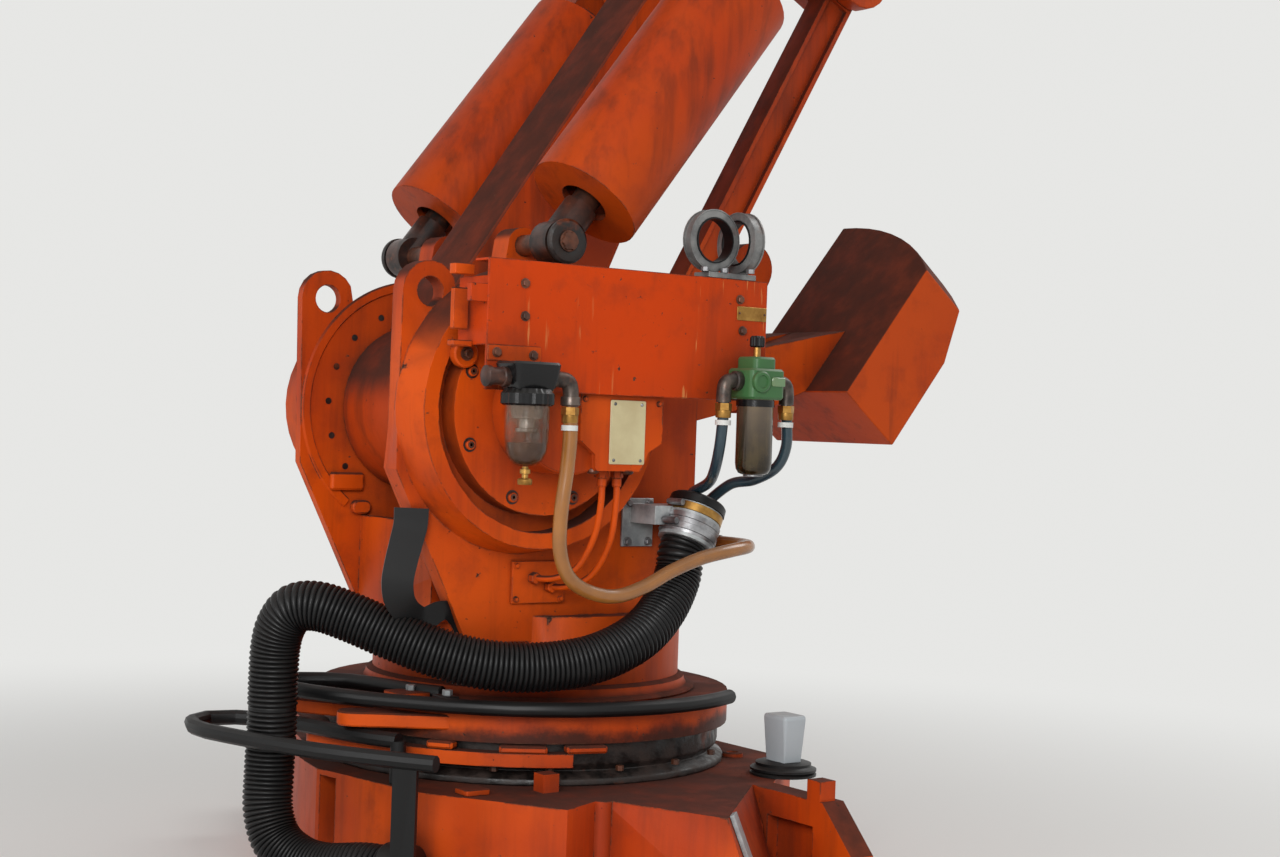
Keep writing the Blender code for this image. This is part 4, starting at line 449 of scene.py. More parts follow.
def lid(radius, rim, slope, height, hollow):
    """Profile of a screwed lid: its rim, a slope inward to its top, and a shallow hollow in the middle."""
    return [(radius, 0), (radius, rim), (radius - slope, height), (hollow, height),
            (hollow - 0.002, height - 0.002), (0.002, height - 0.002)]


def band(at, way, radius, width, thick):
    """A flat hoop round a hose: a ring of small rectangular section."""
    return turned([(radius, 0), (radius + thick, 0), (radius + thick, width), (radius, width)], 32, at, way)


def through(points, spacing):
    """A Catmull-Rom curve through the points, read at an even spacing along its length."""
    p = np.array(points, float)
    p = np.concatenate([[2 * p[0] - p[1]], p, [2 * p[-1] - p[-2]]])
    t = np.linspace(0, 1, 40, endpoint=False)[None, :, None]
    a, b, c, d = (p[i:len(p) - 3 + i, None] for i in range(4))
    curve = 0.5 * (2 * b + (c - a) * t + (2 * a - 5 * b + 4 * c - d) * t**2 + (3 * b - a - 3 * c + d) * t**3)
    curve = np.concatenate([curve.reshape(-1, 3), p[-2:-1]])
    walked = np.concatenate([[0], np.cumsum(np.linalg.norm(np.diff(curve, axis=0), axis=1))])
    at = np.linspace(0, walked[-1], max(3, round(walked[-1] / spacing) + 1))
    return np.stack([np.interp(at, walked, curve[:, i]) for i in range(3)], 1)


def tube(path, radius, count=16):
    """Rings along a path: path + r (cos t side + sin t over), the side turned as little as can be between rings."""
    ways = unit(np.gradient(path, axis=0), 1)
    side = basis(ways[0])[0]
    sides = []
    for way in ways:
        side = unit(side - way * (side @ way))
        sides.append(side)
    sides = np.array(sides)
    overs = np.cross(ways, sides)
    t = once_round(count)
    r = np.broadcast_to(np.asarray(radius, float), (len(path),))[:, None, None]
    return path[:, None] + r * (np.cos(t)[None, :, None] * sides[:, None] + np.sin(t)[None, :, None] * overs[:, None])


def corrugated(points, radius, pitch=0.0086, depth=0.0042):
    """The tube's radius dips by the depth between ribs: r = R - depth (1 - |cos(pi s / pitch)|^0.8) at length s."""
    path = through(points, pitch / 8)
    s = np.arange(len(path)) * pitch / 8
    ribs = radius - depth * (1 - np.abs(np.cos(math.pi * s / pitch)) ** 0.8)
    ribs[:3] = ribs[-3:] = radius - depth / 2
    return path, tube(path, ribs, 36)


def mesh_of(name, stacks, closed=False, angle=SHARP):
    """One mesh of several stacks of rings. Each ring is joined to the next; the ends are filled, or in a closed
    stack the last ring is joined to the first."""
    points, loops, sizes, base = [], [], [], 0
    for rings in stacks:
        k, n = rings.shape[:2]
        index = np.arange(k * n).reshape(k, n)
        below = index if closed else index[:-1]
        above = np.roll(index, -1, 0) if closed else index[1:]
        quads = np.stack([below, np.roll(below, -1, 1), np.roll(above, -1, 1), above], -1).reshape(-1, 4)
        flat = rings.reshape(-1, 3)
        a, b, c, d = (flat[quads[:, i]] for i in range(4))
        middle = flat.mean(0)
        volume = np.einsum("ij,ij->", np.cross(b - a, c - a), a - middle)
        volume += np.einsum("ij,ij->", np.cross(c - a, d - a), a - middle)
        ends = [] if closed else [index[0][::-1], index[-1]]
        if volume < 0:
            quads = quads[:, ::-1]
            ends = [end[::-1] for end in ends]
        loops += [(quads + base).ravel()] + [end + base for end in ends]
        sizes += [4] * len(quads) + [n] * len(ends)
        points.append(flat)
        base += k * n
    mesh = bpy.data.meshes.new(name)
    points, loops = np.concatenate(points), np.concatenate(loops)
    starts = np.concatenate([[0], np.cumsum(sizes)[:-1]])
    mesh.vertices.add(len(points))
    mesh.vertices.foreach_set("co", points.astype(np.float32).ravel())
    mesh.loops.add(len(loops))
    mesh.loops.foreach_set("vertex_index", loops.astype(np.int32))
    mesh.polygons.add(len(starts))
    mesh.polygons.foreach_set("loop_start", starts.astype(np.int32))
    mesh.update(calc_edges=True)
    mesh.validate()
    soften(mesh, angle)
    return mesh


def soften(mesh, angle):
    """Smooth shading, with sharp edges from the given angle on."""
    mesh.shade_smooth()
    mesh.set_sharp_from_angle(angle=math.radians(angle))


def add_piece(name, mesh, body, finish):
    """Hangs a finished mesh on its body, with its material."""
    piece = bpy.data.objects.new(name, mesh)
    bpy.context.scene.collection.objects.link(piece)
    mesh.materials.clear()
    mesh.materials.append(finish)
    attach(piece, body)
    return piece


WELD, FLAT = 2e-5, 0.4  # points nearer than this (m) are one, and faces that turn less than this (degrees) join


def dressed(node, finish, edge):
    """A welded copy of a CAD solid, smooth over its round faces and with its sharp edges broken, in its place."""
    mesh = frame["nodes"][node].data.copy()
    shape = bmesh.new()
    shape.from_mesh(mesh)
    bmesh.ops.remove_doubles(shape, verts=shape.verts, dist=WELD)
    bmesh.ops.dissolve_limit(shape, angle_limit=math.radians(FLAT), verts=shape.verts, edges=shape.edges)
    shape.to_mesh(mesh)
    shape.free()
    soften(mesh, SHARP)
    piece = add_piece(node + "_dressed", mesh, NODE_BODY[node], finish)
    broken = piece.modifiers.new("broken_edge", "BEVEL")
    broken.width = edge
    broken.segments = 2
    broken.limit_method = "ANGLE"
    broken.angle_limit = math.radians(SHARP)
    broken.harden_normals = True
    broken.use_clamp_overlap = True
    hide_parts(node)


def stand_in(name, node, stacks, finish, closed=False, angle=SHARP):
    """A piece that takes a CAD solid's place, on its body."""
    piece = add_piece(name, mesh_of(name, stacks, closed, angle), NODE_BODY[node], finish)
    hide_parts(node)
    return piece


def extra(name, stacks, finish, body="frame", closed=False, angle=SHARP):
    """A fitting that the solids leave out."""
    add_piece(name, mesh_of(name, stacks, closed, angle), body, finish)


def cast(name, stacks, body="frame", angle=SHARP):
    """A fitting in the castings' own orange."""
    extra(name, stacks, ORANGE, body, angle=angle)


REMADE = {"near_motor", "hose_strap", "corrugated_hose", "lower_hose", "amber_hose", "teal_hose_1", "teal_hose_2",
          "grease_tube_1", "grease_tube_2", "filter_head", "filter_bowl", "oiler_head", "oiler_bowl",
          "connector_seat", "cable_connector"}
THIN = {"guard_plate", "access_cover", "pipe_clamps", "air_outlet", "hose_coupling", "foot_rail", "near_rod",
        "far_rod", "stop_ring"}
EDGE, THIN_EDGE = 0.003, 0.0012


def dress_solids():
    """Every solid that no piece of this script remakes, in its finish."""
    for node in frame["nodes"]:
        if node not in REMADE:
            dressed(node, BY_NODE.get(node, BY_SLOT[NODE_SLOT[node]]), THIN_EDGE if node in THIN else EDGE)


# Places on the solids, in metres: the second axis, the spring pins' axis, the hose clamp and the hoses' paths.
AXIS_X, AXIS_Z = 0.188, 0.9
LOW_PIN = np.array((0.141, 0.0, 1.204))
COUPLING_TOP = np.array((-0.155, 0.335, 0.742))
COUPLING_WAY = unit(np.array((0.42, 0.09, -0.90)))
COUPLING_END = COUPLING_TOP + COUPLING_WAY * 0.085
ACROSS = unit(np.cross(COUPLING_WAY, LEFT))
GAP = 0.0003
STRAIGHT = 0.0223
HOSE_SPLIT = np.array((0.569, 0.072, 0.363))
UPPER_HOSE = [
    COUPLING_END + COUPLING_WAY * GAP, COUPLING_END + COUPLING_WAY * STRAIGHT,
    (-0.098, 0.350, 0.600), (-0.050, 0.372, 0.545), (0.020, 0.392, 0.500), (0.110, 0.388, 0.466),
    (0.205, 0.362, 0.453), (0.290, 0.325, 0.457), (0.360, 0.280, 0.475), (0.420, 0.230, 0.501),
    (0.476, 0.180, 0.529), (0.521, 0.140, 0.546), (0.551, 0.108, 0.540), (0.564, 0.085, 0.509),
    (0.568, 0.074, 0.470), (0.569, 0.072, 0.420), HOSE_SPLIT + (0, 0, 0.022), HOSE_SPLIT,
]
FACET_WAY = unit(np.array((-0.147, 0.24, 0.0)))
FACET_OUT = unit(np.array((0.24, 0.147, 0.0)))
MOUTH = np.array((0.400, 0.300, 0.112)) + FACET_WAY * (0.028 - 0.055) + FACET_OUT * 0.056
LOWER_HOSE = [
    HOSE_SPLIT - (0, 0, GAP), HOSE_SPLIT - (0, 0, STRAIGHT), (0.569, 0.072, 0.320), (0.571, 0.072, 0.250),
    (0.574, 0.080, 0.185), (0.566, 0.104, 0.135), (0.545, 0.148, 0.108), (0.520, 0.200, 0.102),
    MOUTH - FACET_WAY * 0.0443, MOUTH - FACET_WAY * GAP,
]
AMBER_HOSE = [
    (0.246, 0.4953, 0.9067), (0.246, 0.4953, 0.8942), (0.244, 0.495, 0.855), (0.246, 0.492, 0.800),
    (0.252, 0.488, 0.730), (0.245, 0.478, 0.665), (0.218, 0.468, 0.618), (0.170, 0.460, 0.592),
    (0.110, 0.455, 0.583), (0.045, 0.448, 0.598), (-0.020, 0.440, 0.624), (-0.090, 0.432, 0.645),
    (-0.160, 0.425, 0.657), (-0.215, 0.405, 0.662), (-0.250, 0.365, 0.662), (-0.262, 0.320, 0.662),
    (-0.262, 0.2798, 0.662), (-0.262, 0.2673, 0.662),
]
TEAL_HOSES = (
    [(-0.082, 0.4923, 0.9267), (-0.082, 0.4923, 0.9167), (-0.082, 0.492, 0.900), (-0.085, 0.482, 0.850),
     (-0.100, 0.450, 0.805), (-0.125, 0.400, 0.780)],
    [(-0.226, 0.4923, 0.9267), (-0.226, 0.4923, 0.9167), (-0.229, 0.492, 0.900), (-0.233, 0.488, 0.850),
     (-0.226, 0.470, 0.812), (-0.208, 0.430, 0.788), (-0.190, 0.385, 0.778)],
)
CONDUITS = (
    [(0.104, 0.390, 0.7997), (0.104, 0.390, 0.7937), (0.104, 0.390, 0.740), (0.106, 0.375, 0.680),
     (0.118, 0.345, 0.625), (0.142, 0.310, 0.603), (0.160, 0.2686, 0.600), (0.160, 0.2626, 0.600)],
    [(0.072, 0.390, 0.7997), (0.072, 0.390, 0.7937), (0.072, 0.390, 0.740), (0.070, 0.372, 0.670),
     (0.080, 0.335, 0.610), (0.108, 0.300, 0.587), (0.125, 0.2686, 0.584), (0.125, 0.2626, 0.584)],
)
RIBBED_RADIUS, AIR_RADIUS, OIL_RADIUS, CONDUIT_RADIUS = 0.044, 0.0125, 0.010, 0.006


def make_hoses():
    """The hoses along their paths, and the two thin tubes with their nuts."""
    path, rings = corrugated(UPPER_HOSE, RIBBED_RADIUS)
    stand_in("ribbed_hose_upper", "corrugated_hose", [rings], BLACK, angle=SMOOTH)
    rings = corrugated(LOWER_HOSE, RIBBED_RADIUS)[1]
    stand_in("ribbed_hose_lower", "lower_hose", [rings], BLACK, angle=SMOOTH)
    path = through(AMBER_HOSE, 0.006)
    stand_in("air_hose", "amber_hose", [tube(path, AIR_RADIUS, 20)], AMBER, angle=SMOOTH)
    for number, points in enumerate(TEAL_HOSES, 1):
        end = COUPLING_TOP - COUPLING_WAY * GAP * 2 + ACROSS * (3 - 2 * number) * 0.02
        path = through(points + [end - COUPLING_WAY * 0.01, end], 0.005)
        rings = tube(path, OIL_RADIUS, 18)
        stand_in(f"oil_hose_{number}", f"teal_hose_{number}", [rings], TEAL, angle=SMOOTH)
    for number, points in enumerate(CONDUITS, 1):
        rings = tube(through(points, 0.006), CONDUIT_RADIUS, 14)
        stand_in(f"conduit_{number}", f"grease_tube_{number}", [rings], ORANGE, angle=SMOOTH)
        top, end = np.array(points[0]), np.array(points[-1])
        sleeve = turned([(0.0085, 0), (0.0085, 0.016), (0.007, 0.018)], 20, top - (0, 0, 0.012), DOWN)
        cast(f"conduit_nuts_{number}", [nut(top - (0, 0, 0.002), DOWN, 0.020, 0.012), sleeve,
                                        nut(end + (0, 0.001, 0), LEFT, 0.019, 0.014)])


def make_bolts():
    """The bolts that show, at their real size, on the frame's rings, plates and flange."""
    heads, well_shade, sockets = [], [], []
    for at in round_axis(AXIS_X, AXIS_Z, 0.165, 0.3302, [45 * turn - 67.5 for turn in range(8)]):
        # Painted shade: a flat dark ring in the grease finish round each bolt head stands for the well it sits in.
        well_shade.append(turned([(0.0095, 0), (0.0125, 0), (0.0125, 0.0006), (0.0095, 0.0006)], 28, at, LEFT))
        heads.append(turned([(0.0090, 0), (0.0090, 0.0045), (0.0078, 0.0058)], 24, at, LEFT))
        sockets.append(turned([(0.0062, 0.004), (0.0062, 0.0064), (0.0030, 0.0066), (0.0026, 0.0058)], 12, at, LEFT))
    cast("disc_bolts", heads)
    extra("disc_bolt_sockets", sockets, RUSTY)
    extra("disc_bolt_well_shade", well_shade, GREASE, closed=True)
    # Painted shade: flat dark discs in the grease finish stand for the holes in the far ring.
    hole_shade = [turned([(0.0062, 0), (0.0062, 0.0006)], 20, at, LEFT)
             for at in round_axis(AXIS_X, AXIS_Z, 0.1895, -0.1348, (43, 22.5, 2, -18, -38, 64, 84))]
    extra("far_ring_hole_shade", hole_shade, GREASE)
    t = np.radians(np.linspace(-52, 118, 80))
    rim = [np.stack([AXIS_X + r * np.cos(t), np.full(80, y), AXIS_Z + r * np.sin(t)], 1)
           for r, y in ((0.226, -0.1350), (0.229, -0.1300), (0.243, -0.1300), (0.246, -0.1350))]
    cast("far_ring_rim", [np.stack(rim, 1)])
    boss = plate(0.040, 0.026, 0.0125, [(0, 0), (0, 0.010), (0.003, 0.013)], (0.304, -0.1348, 0.706), LEFT)
    cast("far_cheek_pads", [block((0.302, -0.1348, 0.738), (0.372, -0.120, 0.772), 0.006, 0.004), boss])
    guard = on_face(0.4501, (0.315, 1.111), (0.313, 1.056), (-0.144, 1.114), (-0.152, 1.058))
    bracket = on_face(0.4532, (0.368, 0.993), (0.296, 0.991))
    extra("guard_bolts", bolts(guard + bracket, LEFT, 0.012, 0.005, 0.0085), RUSTY)
    cover = on_face(0.2622, (0.098, 0.562), (0.194, 0.562), (0.098, 0.622), (0.194, 0.622))
    cast("cover_bolts", bolts(cover, LEFT, 0.008, 0.004, 0.006))


FILTER_X, FILTER_Y = 0.331, 0.4953
OILER_X, OILER_Y = -0.154, 0.4923
HOSE_TOPS = ((FILTER_X - 0.085, FILTER_Y, 0.9070), (-0.082, OILER_Y, 0.9260), (-0.226, OILER_Y, 0.9260))


def upright(name, profile, count, x, y, finish):
    """A lathe form round an upright axis at x, y."""
    extra(name, [turned(profile, count, (x, y, 0))], finish)


def make_filter():
    """The filter: moulded head, ribbed collar, plug, elbow, bowl with its element and brown water, and drain."""
    x, y = FILTER_X, FILTER_Y
    head = plate(0.090, 0.076, 0.012, [(0.012, 0.932), (0.004, 0.952), (0.001, 0.968), (0.0, 0.974), (0.003, 0.978)],
                 (x, y, 0))
    rib = 0.0435 + 0.0010 * np.cos(24 * once_round(96))
    collar = fluted([(rib - 0.004, 0.906), (rib, 0.909), (rib, 0.926), (rib - 0.003, 0.929), (rib - 0.006, 0.934)])
    stand_in("filter_body", "filter_head", [head, put(collar, (x, y, 0))], PLASTIC)
    bend = through([(x - 0.040, y, 0.952), (x - 0.062, y, 0.952), (x - 0.079, y, 0.948), (x - 0.085, y, 0.932),
                    (x - 0.085, y, 0.9075)], 0.004)
    sleeve = lathe([(0.0160, 0), (0.0168, 0.002), (0.0168, 0.014), (0.0145, 0.016)], 28)
    extra("filter_elbow", [tube(bend, 0.0136, 24), put(sleeve, (x - 0.036, y, 0.952), REAR),
                           put(sleeve, (x - 0.085, y, 0.924), DOWN)], DARK_STEEL)
    plug = [(0.0165, 0), (0.0165, 0.010), (0.0145, 0.012), (0.0145, 0.032), (0.0175, 0.033), (0.0175, 0.041),
            (0.012, 0.044)]
    extra("filter_plug", [turned(plug, 28, (x + 0.041, y, 0.952), FRONT)], GREASED)
    wall = [(0.0345, 0.907), (0.0375, 0.907), (0.0370, 0.850), (0.0345, 0.831), (0.029, 0.818), (0.021, 0.810),
            (0.012, 0.8065), (0.0045, 0.806), (0.0040, 0.8085), (0.012, 0.809), (0.0195, 0.8125), (0.0268, 0.8198),
            (0.0320, 0.832), (0.0342, 0.850)]
    stand_in("filter_glass", "filter_bowl", [turned(wall, 44, (x, y, 0))], BOWL, True, angle=50)
    element = [(0.0170, 0.862), (0.0185, 0.864), (0.0185, 0.868), (0.0135, 0.869), (0.0135, 0.884), (0.024, 0.885),
               (0.027, 0.892), (0.027, 0.906)]
    sump = [(0.004, 0.8096), (0.012, 0.8100), (0.0190, 0.8134), (0.0258, 0.8206), (0.0312, 0.834), (0.0325, 0.845),
            (0.004, 0.846)]
    drain = [(0.0115, 0.7755), (0.0125, 0.778), (0.0125, 0.784), (0.0105, 0.786), (0.0055, 0.787), (0.0055, 0.793),
             (0.0090, 0.794), (0.0090, 0.801), (0.0055, 0.802), (0.0055, 0.8055)]
    upright("filter_element", element, 32, x, y, ELEMENT)
    upright("filter_sump", sump, 32, x, y, SUMP)
    upright("filter_drain", drain, 28, x, y, BRASS)


def make_hose_tops():
    """Brass unions and white bands at the upper ends of the three smooth hoses."""
    unions, bands = [], []
    for x, y, z in HOSE_TOPS:
        unions.append(nut((x, y, z - 0.001), DOWN, 0.026, 0.014))
        unions.append(turned([(0.0140, 0), (0.0140, 0.011), (0.0130, 0.013)], 24, (x, y, z - 0.014), DOWN))
        bands.append(band((x, y, z - 0.040), UP, 0.0128, 0.009, 0.0014))
    extra("hose_unions", unions, BRASS)
    extra("hose_bands", bands, WHITE, closed=True)


def make_oiler():
    """The oiler: cast head with its boss, knob on a stem, two elbows, level window, collar, jar and cap."""
    x, y = OILER_X, OILER_Y
    low = plate(0.078, 0.076, 0.012, [(0.004, 0.934), (0.0, 0.938), (0.0, 0.985), (0.004, 0.989)], (x, y, 0))
    high = plate(0.050, 0.060, 0.012, [(0.0, 0.988), (0.0, 1.006), (0.003, 1.010)], (x, y, 0))
    boss = turned([(0.019, 0), (0.019, 0.007), (0.016, 0.009), (0.012, 0.009), (0.011, 0.006)], 32,
                  (x + 0.020, y + 0.0365, 0.965), LEFT)
    stand_in("oiler_body", "oiler_head", [low, high, boss], GREEN)
    upright("oiler_stem", [(0.0065, 1.009), (0.0065, 1.031)], 20, x, y, BRASS)
    rib = 0.0128 + 0.0007 * np.cos(15 * once_round(60))
    knob = fluted([(rib - 0.002, 1.028), (rib, 1.030), (rib, 1.045), (rib - 0.003, 1.048)])
    extra("oiler_knob", [put(knob, (x, y, 0))], BLACK)
    elbows = []
    for side in (1, -1):
        bend = through([(x + side * 0.036, y, 0.966), (x + side * 0.054, y, 0.966), (x + side * 0.068, y, 0.961),
                        (x + side * 0.072, y, 0.946), (x + side * 0.072, y, 0.9265)], 0.004)
        elbows += [tube(bend, 0.0136, 24), turned([(0.0165, 0), (0.0175, 0.002), (0.0175, 0.012), (0.015, 0.014)],
                                                  28, (x + side * 0.038, y, 0.966), (side, 0, 0))]
    extra("oiler_elbows", elbows, DARK_STEEL)
    window = plate(0.030, 0.016, 0.003, [(0, 0), (0, 0.0020), (0.001, 0.0028)], (x - 0.020, y + 0.0382, 0.966), LEFT)
    extra("oiler_window", [window], PALE_GREEN)
    upright("oiler_collar", [(0.030, 0.920), (0.0345, 0.921), (0.0345, 0.9325), (0.030, 0.9335)], 40, x, y, PLASTIC)
    jar = [(0.006, 0.7985), (0.020, 0.799), (0.027, 0.802), (0.0315, 0.809), (0.033, 0.820), (0.033, 0.933),
           (0.0335, 0.934)]
    stand_in("oiler_jar", "oiler_bowl", [turned(jar, 40, (x, y, 0))], OILY, angle=50)
    upright("oiler_cap", [(0.012, 0.7955), (0.018, 0.7965), (0.018, 0.7995)], 28, x, y, STEEL)


def make_guard_fittings():
    """Bare plates with their rivets and screws, the filter's bracket and the saddle's bolts."""
    bare = plate(0.068, 0.025, 0.002, [(0, 0), (0, 0.0010), (0.0006, 0.0014)], (-0.1725, 0.4502, 1.0895), LEFT)
    extra("brass_plate", [bare], BRASS)
    rivets = [turned([(0.0022, 0), (0.0019, 0.001), (0.0010, 0.0016)], 12, at, LEFT)
              for at in on_face(0.4516, (-0.2015, 1.0895), (-0.1435, 1.0895))]
    extra("plate_rivets", rivets, RUSTY)
    cast("filter_bracket", [plate(0.105, 0.027, 0.003, [(0, 0), (0, 0.0022), (0.0008, 0.0030)],
                                  (0.3325, 0.4502, 0.9925), LEFT)])
    panel = plate(0.075, 0.112, 0.003, [(0, 0), (0, 0.0012), (0.0006, 0.0016)], (0.0825, 0.4323, 0.867), LEFT)
    extra("blank_plate", [panel], CREAM)
    screws = [turned([(0.0030, 0), (0.0027, 0.0012), (0.0015, 0.0020)], 14, at, LEFT)
              for at in on_face(0.4338, (0.054, 0.818), (0.111, 0.818), (0.054, 0.916), (0.111, 0.916))]
    extra("plate_screws", screws, STEEL)
    saddle = on_face(0.2612, (-0.094, 0.664), (-0.094, 0.736), (-0.047, 0.664), (-0.047, 0.736))
    motor = [at for at in round_axis(AXIS_X, AXIS_Z, 0.088, 0.4152, range(30, 390, 60)) if at[2] > 1.0 or at[0] > 0.2]
    rows = bolts(saddle, LEFT, 0.011, 0.006, 0.0085) + bolts(motor, LEFT, 0.012, 0.006, 0.0095)
    extra("saddle_bolts", rows, STEEL)


def make_coupling():
    """The hose clamp: its rubber mouth, brass ring, steel band and the two screws that draw it together."""
    mouth = [(0.036, -0.0015), (0.0500, -0.0015), (0.0535, 0.002), (0.0545, 0.016), (0.0522, 0.017), (0.036, 0.0008)]
    ring = [(0.0521, 0.019), (0.0536, 0.020), (0.0536, 0.034), (0.0521, 0.035)]
    clamp = [(0.0521, 0.040), (0.0550, 0.041), (0.0550, 0.050), (0.0538, 0.051), (0.0538, 0.060), (0.0552, 0.061),
             (0.0552, 0.072), (0.0535, 0.073), (0.0521, 0.078)]
    for name, profile, finish, slot in (("coupling_boot", mouth, BLACK, None), ("coupling_ring", ring, BRASS, None),
                                        ("coupling_clamp", clamp, STEEL, "steel")):
        extra(name, [turned(profile, 48, COUPLING_TOP, COUPLING_WAY)], finish, closed=True)
    side = unit(np.cross(COUPLING_WAY, UP))
    out = np.cross(side, COUPLING_WAY)
    out = out if out[1] > 0 else -out
    screws = []
    for d in (0.027, 0.064):
        at = COUPLING_TOP + COUPLING_WAY * d + out * 0.060 - side * 0.018
        screws.append(turned([(0.0062, 0), (0.0062, 0.030), (0.0050, 0.031)], 18, at, side))
        screws.append(nut(at + side * 0.031, side, 0.009, 0.006))
    extra("band_screws", screws, STEEL)


def make_pins():
    """Greasy rings and castle nuts on the spring pins."""
    boot = [(0.022, 0), (0.0385, 0.0), (0.0405, 0.002), (0.0405, 0.008), (0.036, 0.0115), (0.024, 0.0125),
            (0.019, 0.010)]
    teeth = 0.0185 + 0.0012 * np.sign(np.cos(6 * once_round(48)))
    even = np.full(48, 0.019)
    castle = fluted([(even, 0.009), (even, 0.013), (teeth - 0.002, 0.0135), (teeth - 0.003, 0.0175)])
    for side, name in ((1, "near"), (-1, "far")):
        at, way = LOW_PIN + (0, side * 0.3035, 0), (0, side, 0)
        extra(f"{name}_pin_ring", [turned(boot, 40, at, way)], GREASE)
        extra(f"{name}_pin_nut", [put(castle, at, way)], RUSTY)


def make_base_fittings():
    """The cable connector's ribbed seat and cap, and the pad, boss and studs on the base."""
    x, y = -0.3028, 0.4288
    seat = [(0.062, 0.2403), (0.062, 0.244), (0.058, 0.246), (0.062, 0.249), (0.062, 0.253), (0.055, 0.255),
            (0.052, 0.258), (0.052, 0.263), (0.046, 0.265)]
    stand_in("ribbed_seat", "connector_seat", [turned(seat, 48, (x, y, 0))], BLACK)
    cap = plate(0.054, 0.066, 0.008, [(0.007, 0.2653), (0.006, 0.275), (0.0, 0.343), (0.0005, 0.3485),
                                      (0.003, 0.3515)], (x, y, 0))
    foot = block((x - 0.020, y - 0.012, 0.2645), (x + 0.020, y + 0.012, 0.268))
    stand_in("connector_cap", "cable_connector", [foot, cap], GREY, angle=40)
    cast("deck_pad", [block((0.300, 0.330, 0.2402), (0.347, 0.372, 0.250), 0.004)], "base")
    boss = [(0.021, 0.2402), (0.021, 0.247), (0.0185, 0.249), (0.012, 0.249), (0.0105, 0.246), (0.002, 0.2455)]
    extra("deck_boss", [turned(boss, 36, (-0.338, 0.232, 0))], DARK_ORANGE, "base")
    studs = [nut((0.384 * math.cos(a), 0.384 * math.sin(a), 0.2645), UP, 0.013, 0.009)
             for a in map(math.radians, (50, 64.7, 84.3, 104, 125))]
    extra("bearing_studs", studs, RUSTY, "base")


def make_flange_fittings():
    """Lugs under the flange's edge, orange blocks in the bearing, the lip round the neck and the rod's clips."""
    half_turn = np.linspace(-math.pi / 2, math.pi / 2, 13)
    cos, sin = np.cos(half_turn)[:, None], np.sin(half_turn)[:, None]
    lugs = []
    for heading in (math.radians(17.0), math.radians(-7.0)):
        way = np.array((math.cos(heading), math.sin(heading)))
        aside = np.array((-way[1], way[0]))
        tip, root = way * 0.452 - aside * 0.010, way * 0.345 + aside * 0.110
        ray = unit(root - tip)
        outline = np.concatenate([middle + r * (cos * -inward + sin * np.array((inward[1], -inward[0])))
                                  for middle, r, inward in ((tip, 0.030, ray), (root, 0.040, -ray))])
        lugs.append(stack(outline, [(0.002, 0.3335), (0, 0.336), (0, 0.356), (0.003, 0.359)]))
    cast("flange_lugs", lugs)
    blocks = []
    for x, y, z, wide in ((0.330, 0.243, 0.308, 0.050), (0.2186, 0.3440, 0.306, 0.085),
                          (0.1147, 0.3920, 0.307, 0.075)):
        way = np.array((x, y, 0)) / math.hypot(x, y)
        blocks.append(plate(wide, 0.014, 0.005, [(0, 0), (0, 0.018), (0.004, 0.022)],
                            np.array((x, y, z)) - way * 0.022, way))
    cast("bearing_blocks", blocks, "base")
    lip = [(0.2965, 0.3756), (0.326, 0.3756), (0.330, 0.379), (0.326, 0.383), (0.314, 0.385), (0.310, 0.391),
           (0.3085, 0.399), (0.302, 0.4035), (0.2965, 0.405)]
    extra("neck_lip", [lathe(lip, 96)], FRAME_ORANGE, closed=True, angle=40)
    for number, half_x, half_y, height, corner, place, finish in (
        (1, 0.032, 0.030, 0.016, 0.004, (0.345, 0.150, 0.3756), DARK_ORANGE),
        (2, 0.016, 0.022, 0.018, 0.003, (0.316, 0.238, 0.3756), ROD_BLACK),
    ):
        clip = block((-half_x, -half_y, 0), (half_x, half_y, height), corner) + np.array(place)
        extra(f"rod_clip_{number}", [clip], finish)
    extra("clip_bolts", [nut(at, UP, 0.016, 0.010) for at in ((0.333, 0.142, 0.3912), (0.312, 0.236, 0.3932))],
          GALVANISED)


def make_strap():
    """A flat band hanging by the near cheek: the path plus and minus half its width, and half its thickness."""
    path = through([
        (0.4096, 0.2590, 0.7242), (0.4112, 0.2600, 0.695), (0.4207, 0.2620, 0.6608), (0.4302, 0.2640, 0.6266),
        (0.4354, 0.2650, 0.5959), (0.4292, 0.2640, 0.5665), (0.4069, 0.2580, 0.5429), (0.3724, 0.2500, 0.5308),
        (0.3426, 0.2460, 0.5418), (0.3193, 0.2440, 0.5427), (0.2991, 0.2420, 0.5226), (0.2900, 0.2420, 0.5011),
    ], 0.006)
    out = np.array((0.35, 0.937, 0.0))
    across = unit(np.cross(unit(np.gradient(path, axis=0), 1), out), 1)
    half = np.interp(np.arange(len(path)), [0, len(path) * 0.45, len(path) - 1], [0.030, 0.027, 0.012])[:, None]
    thick = out * 0.0022
    corners = [path + across * half + thick, path - across * half + thick, path - across * half - thick,
               path + across * half - thick]
    stand_in("rubber_strap", "hose_strap", [np.stack(corners, 1)], BLACK)


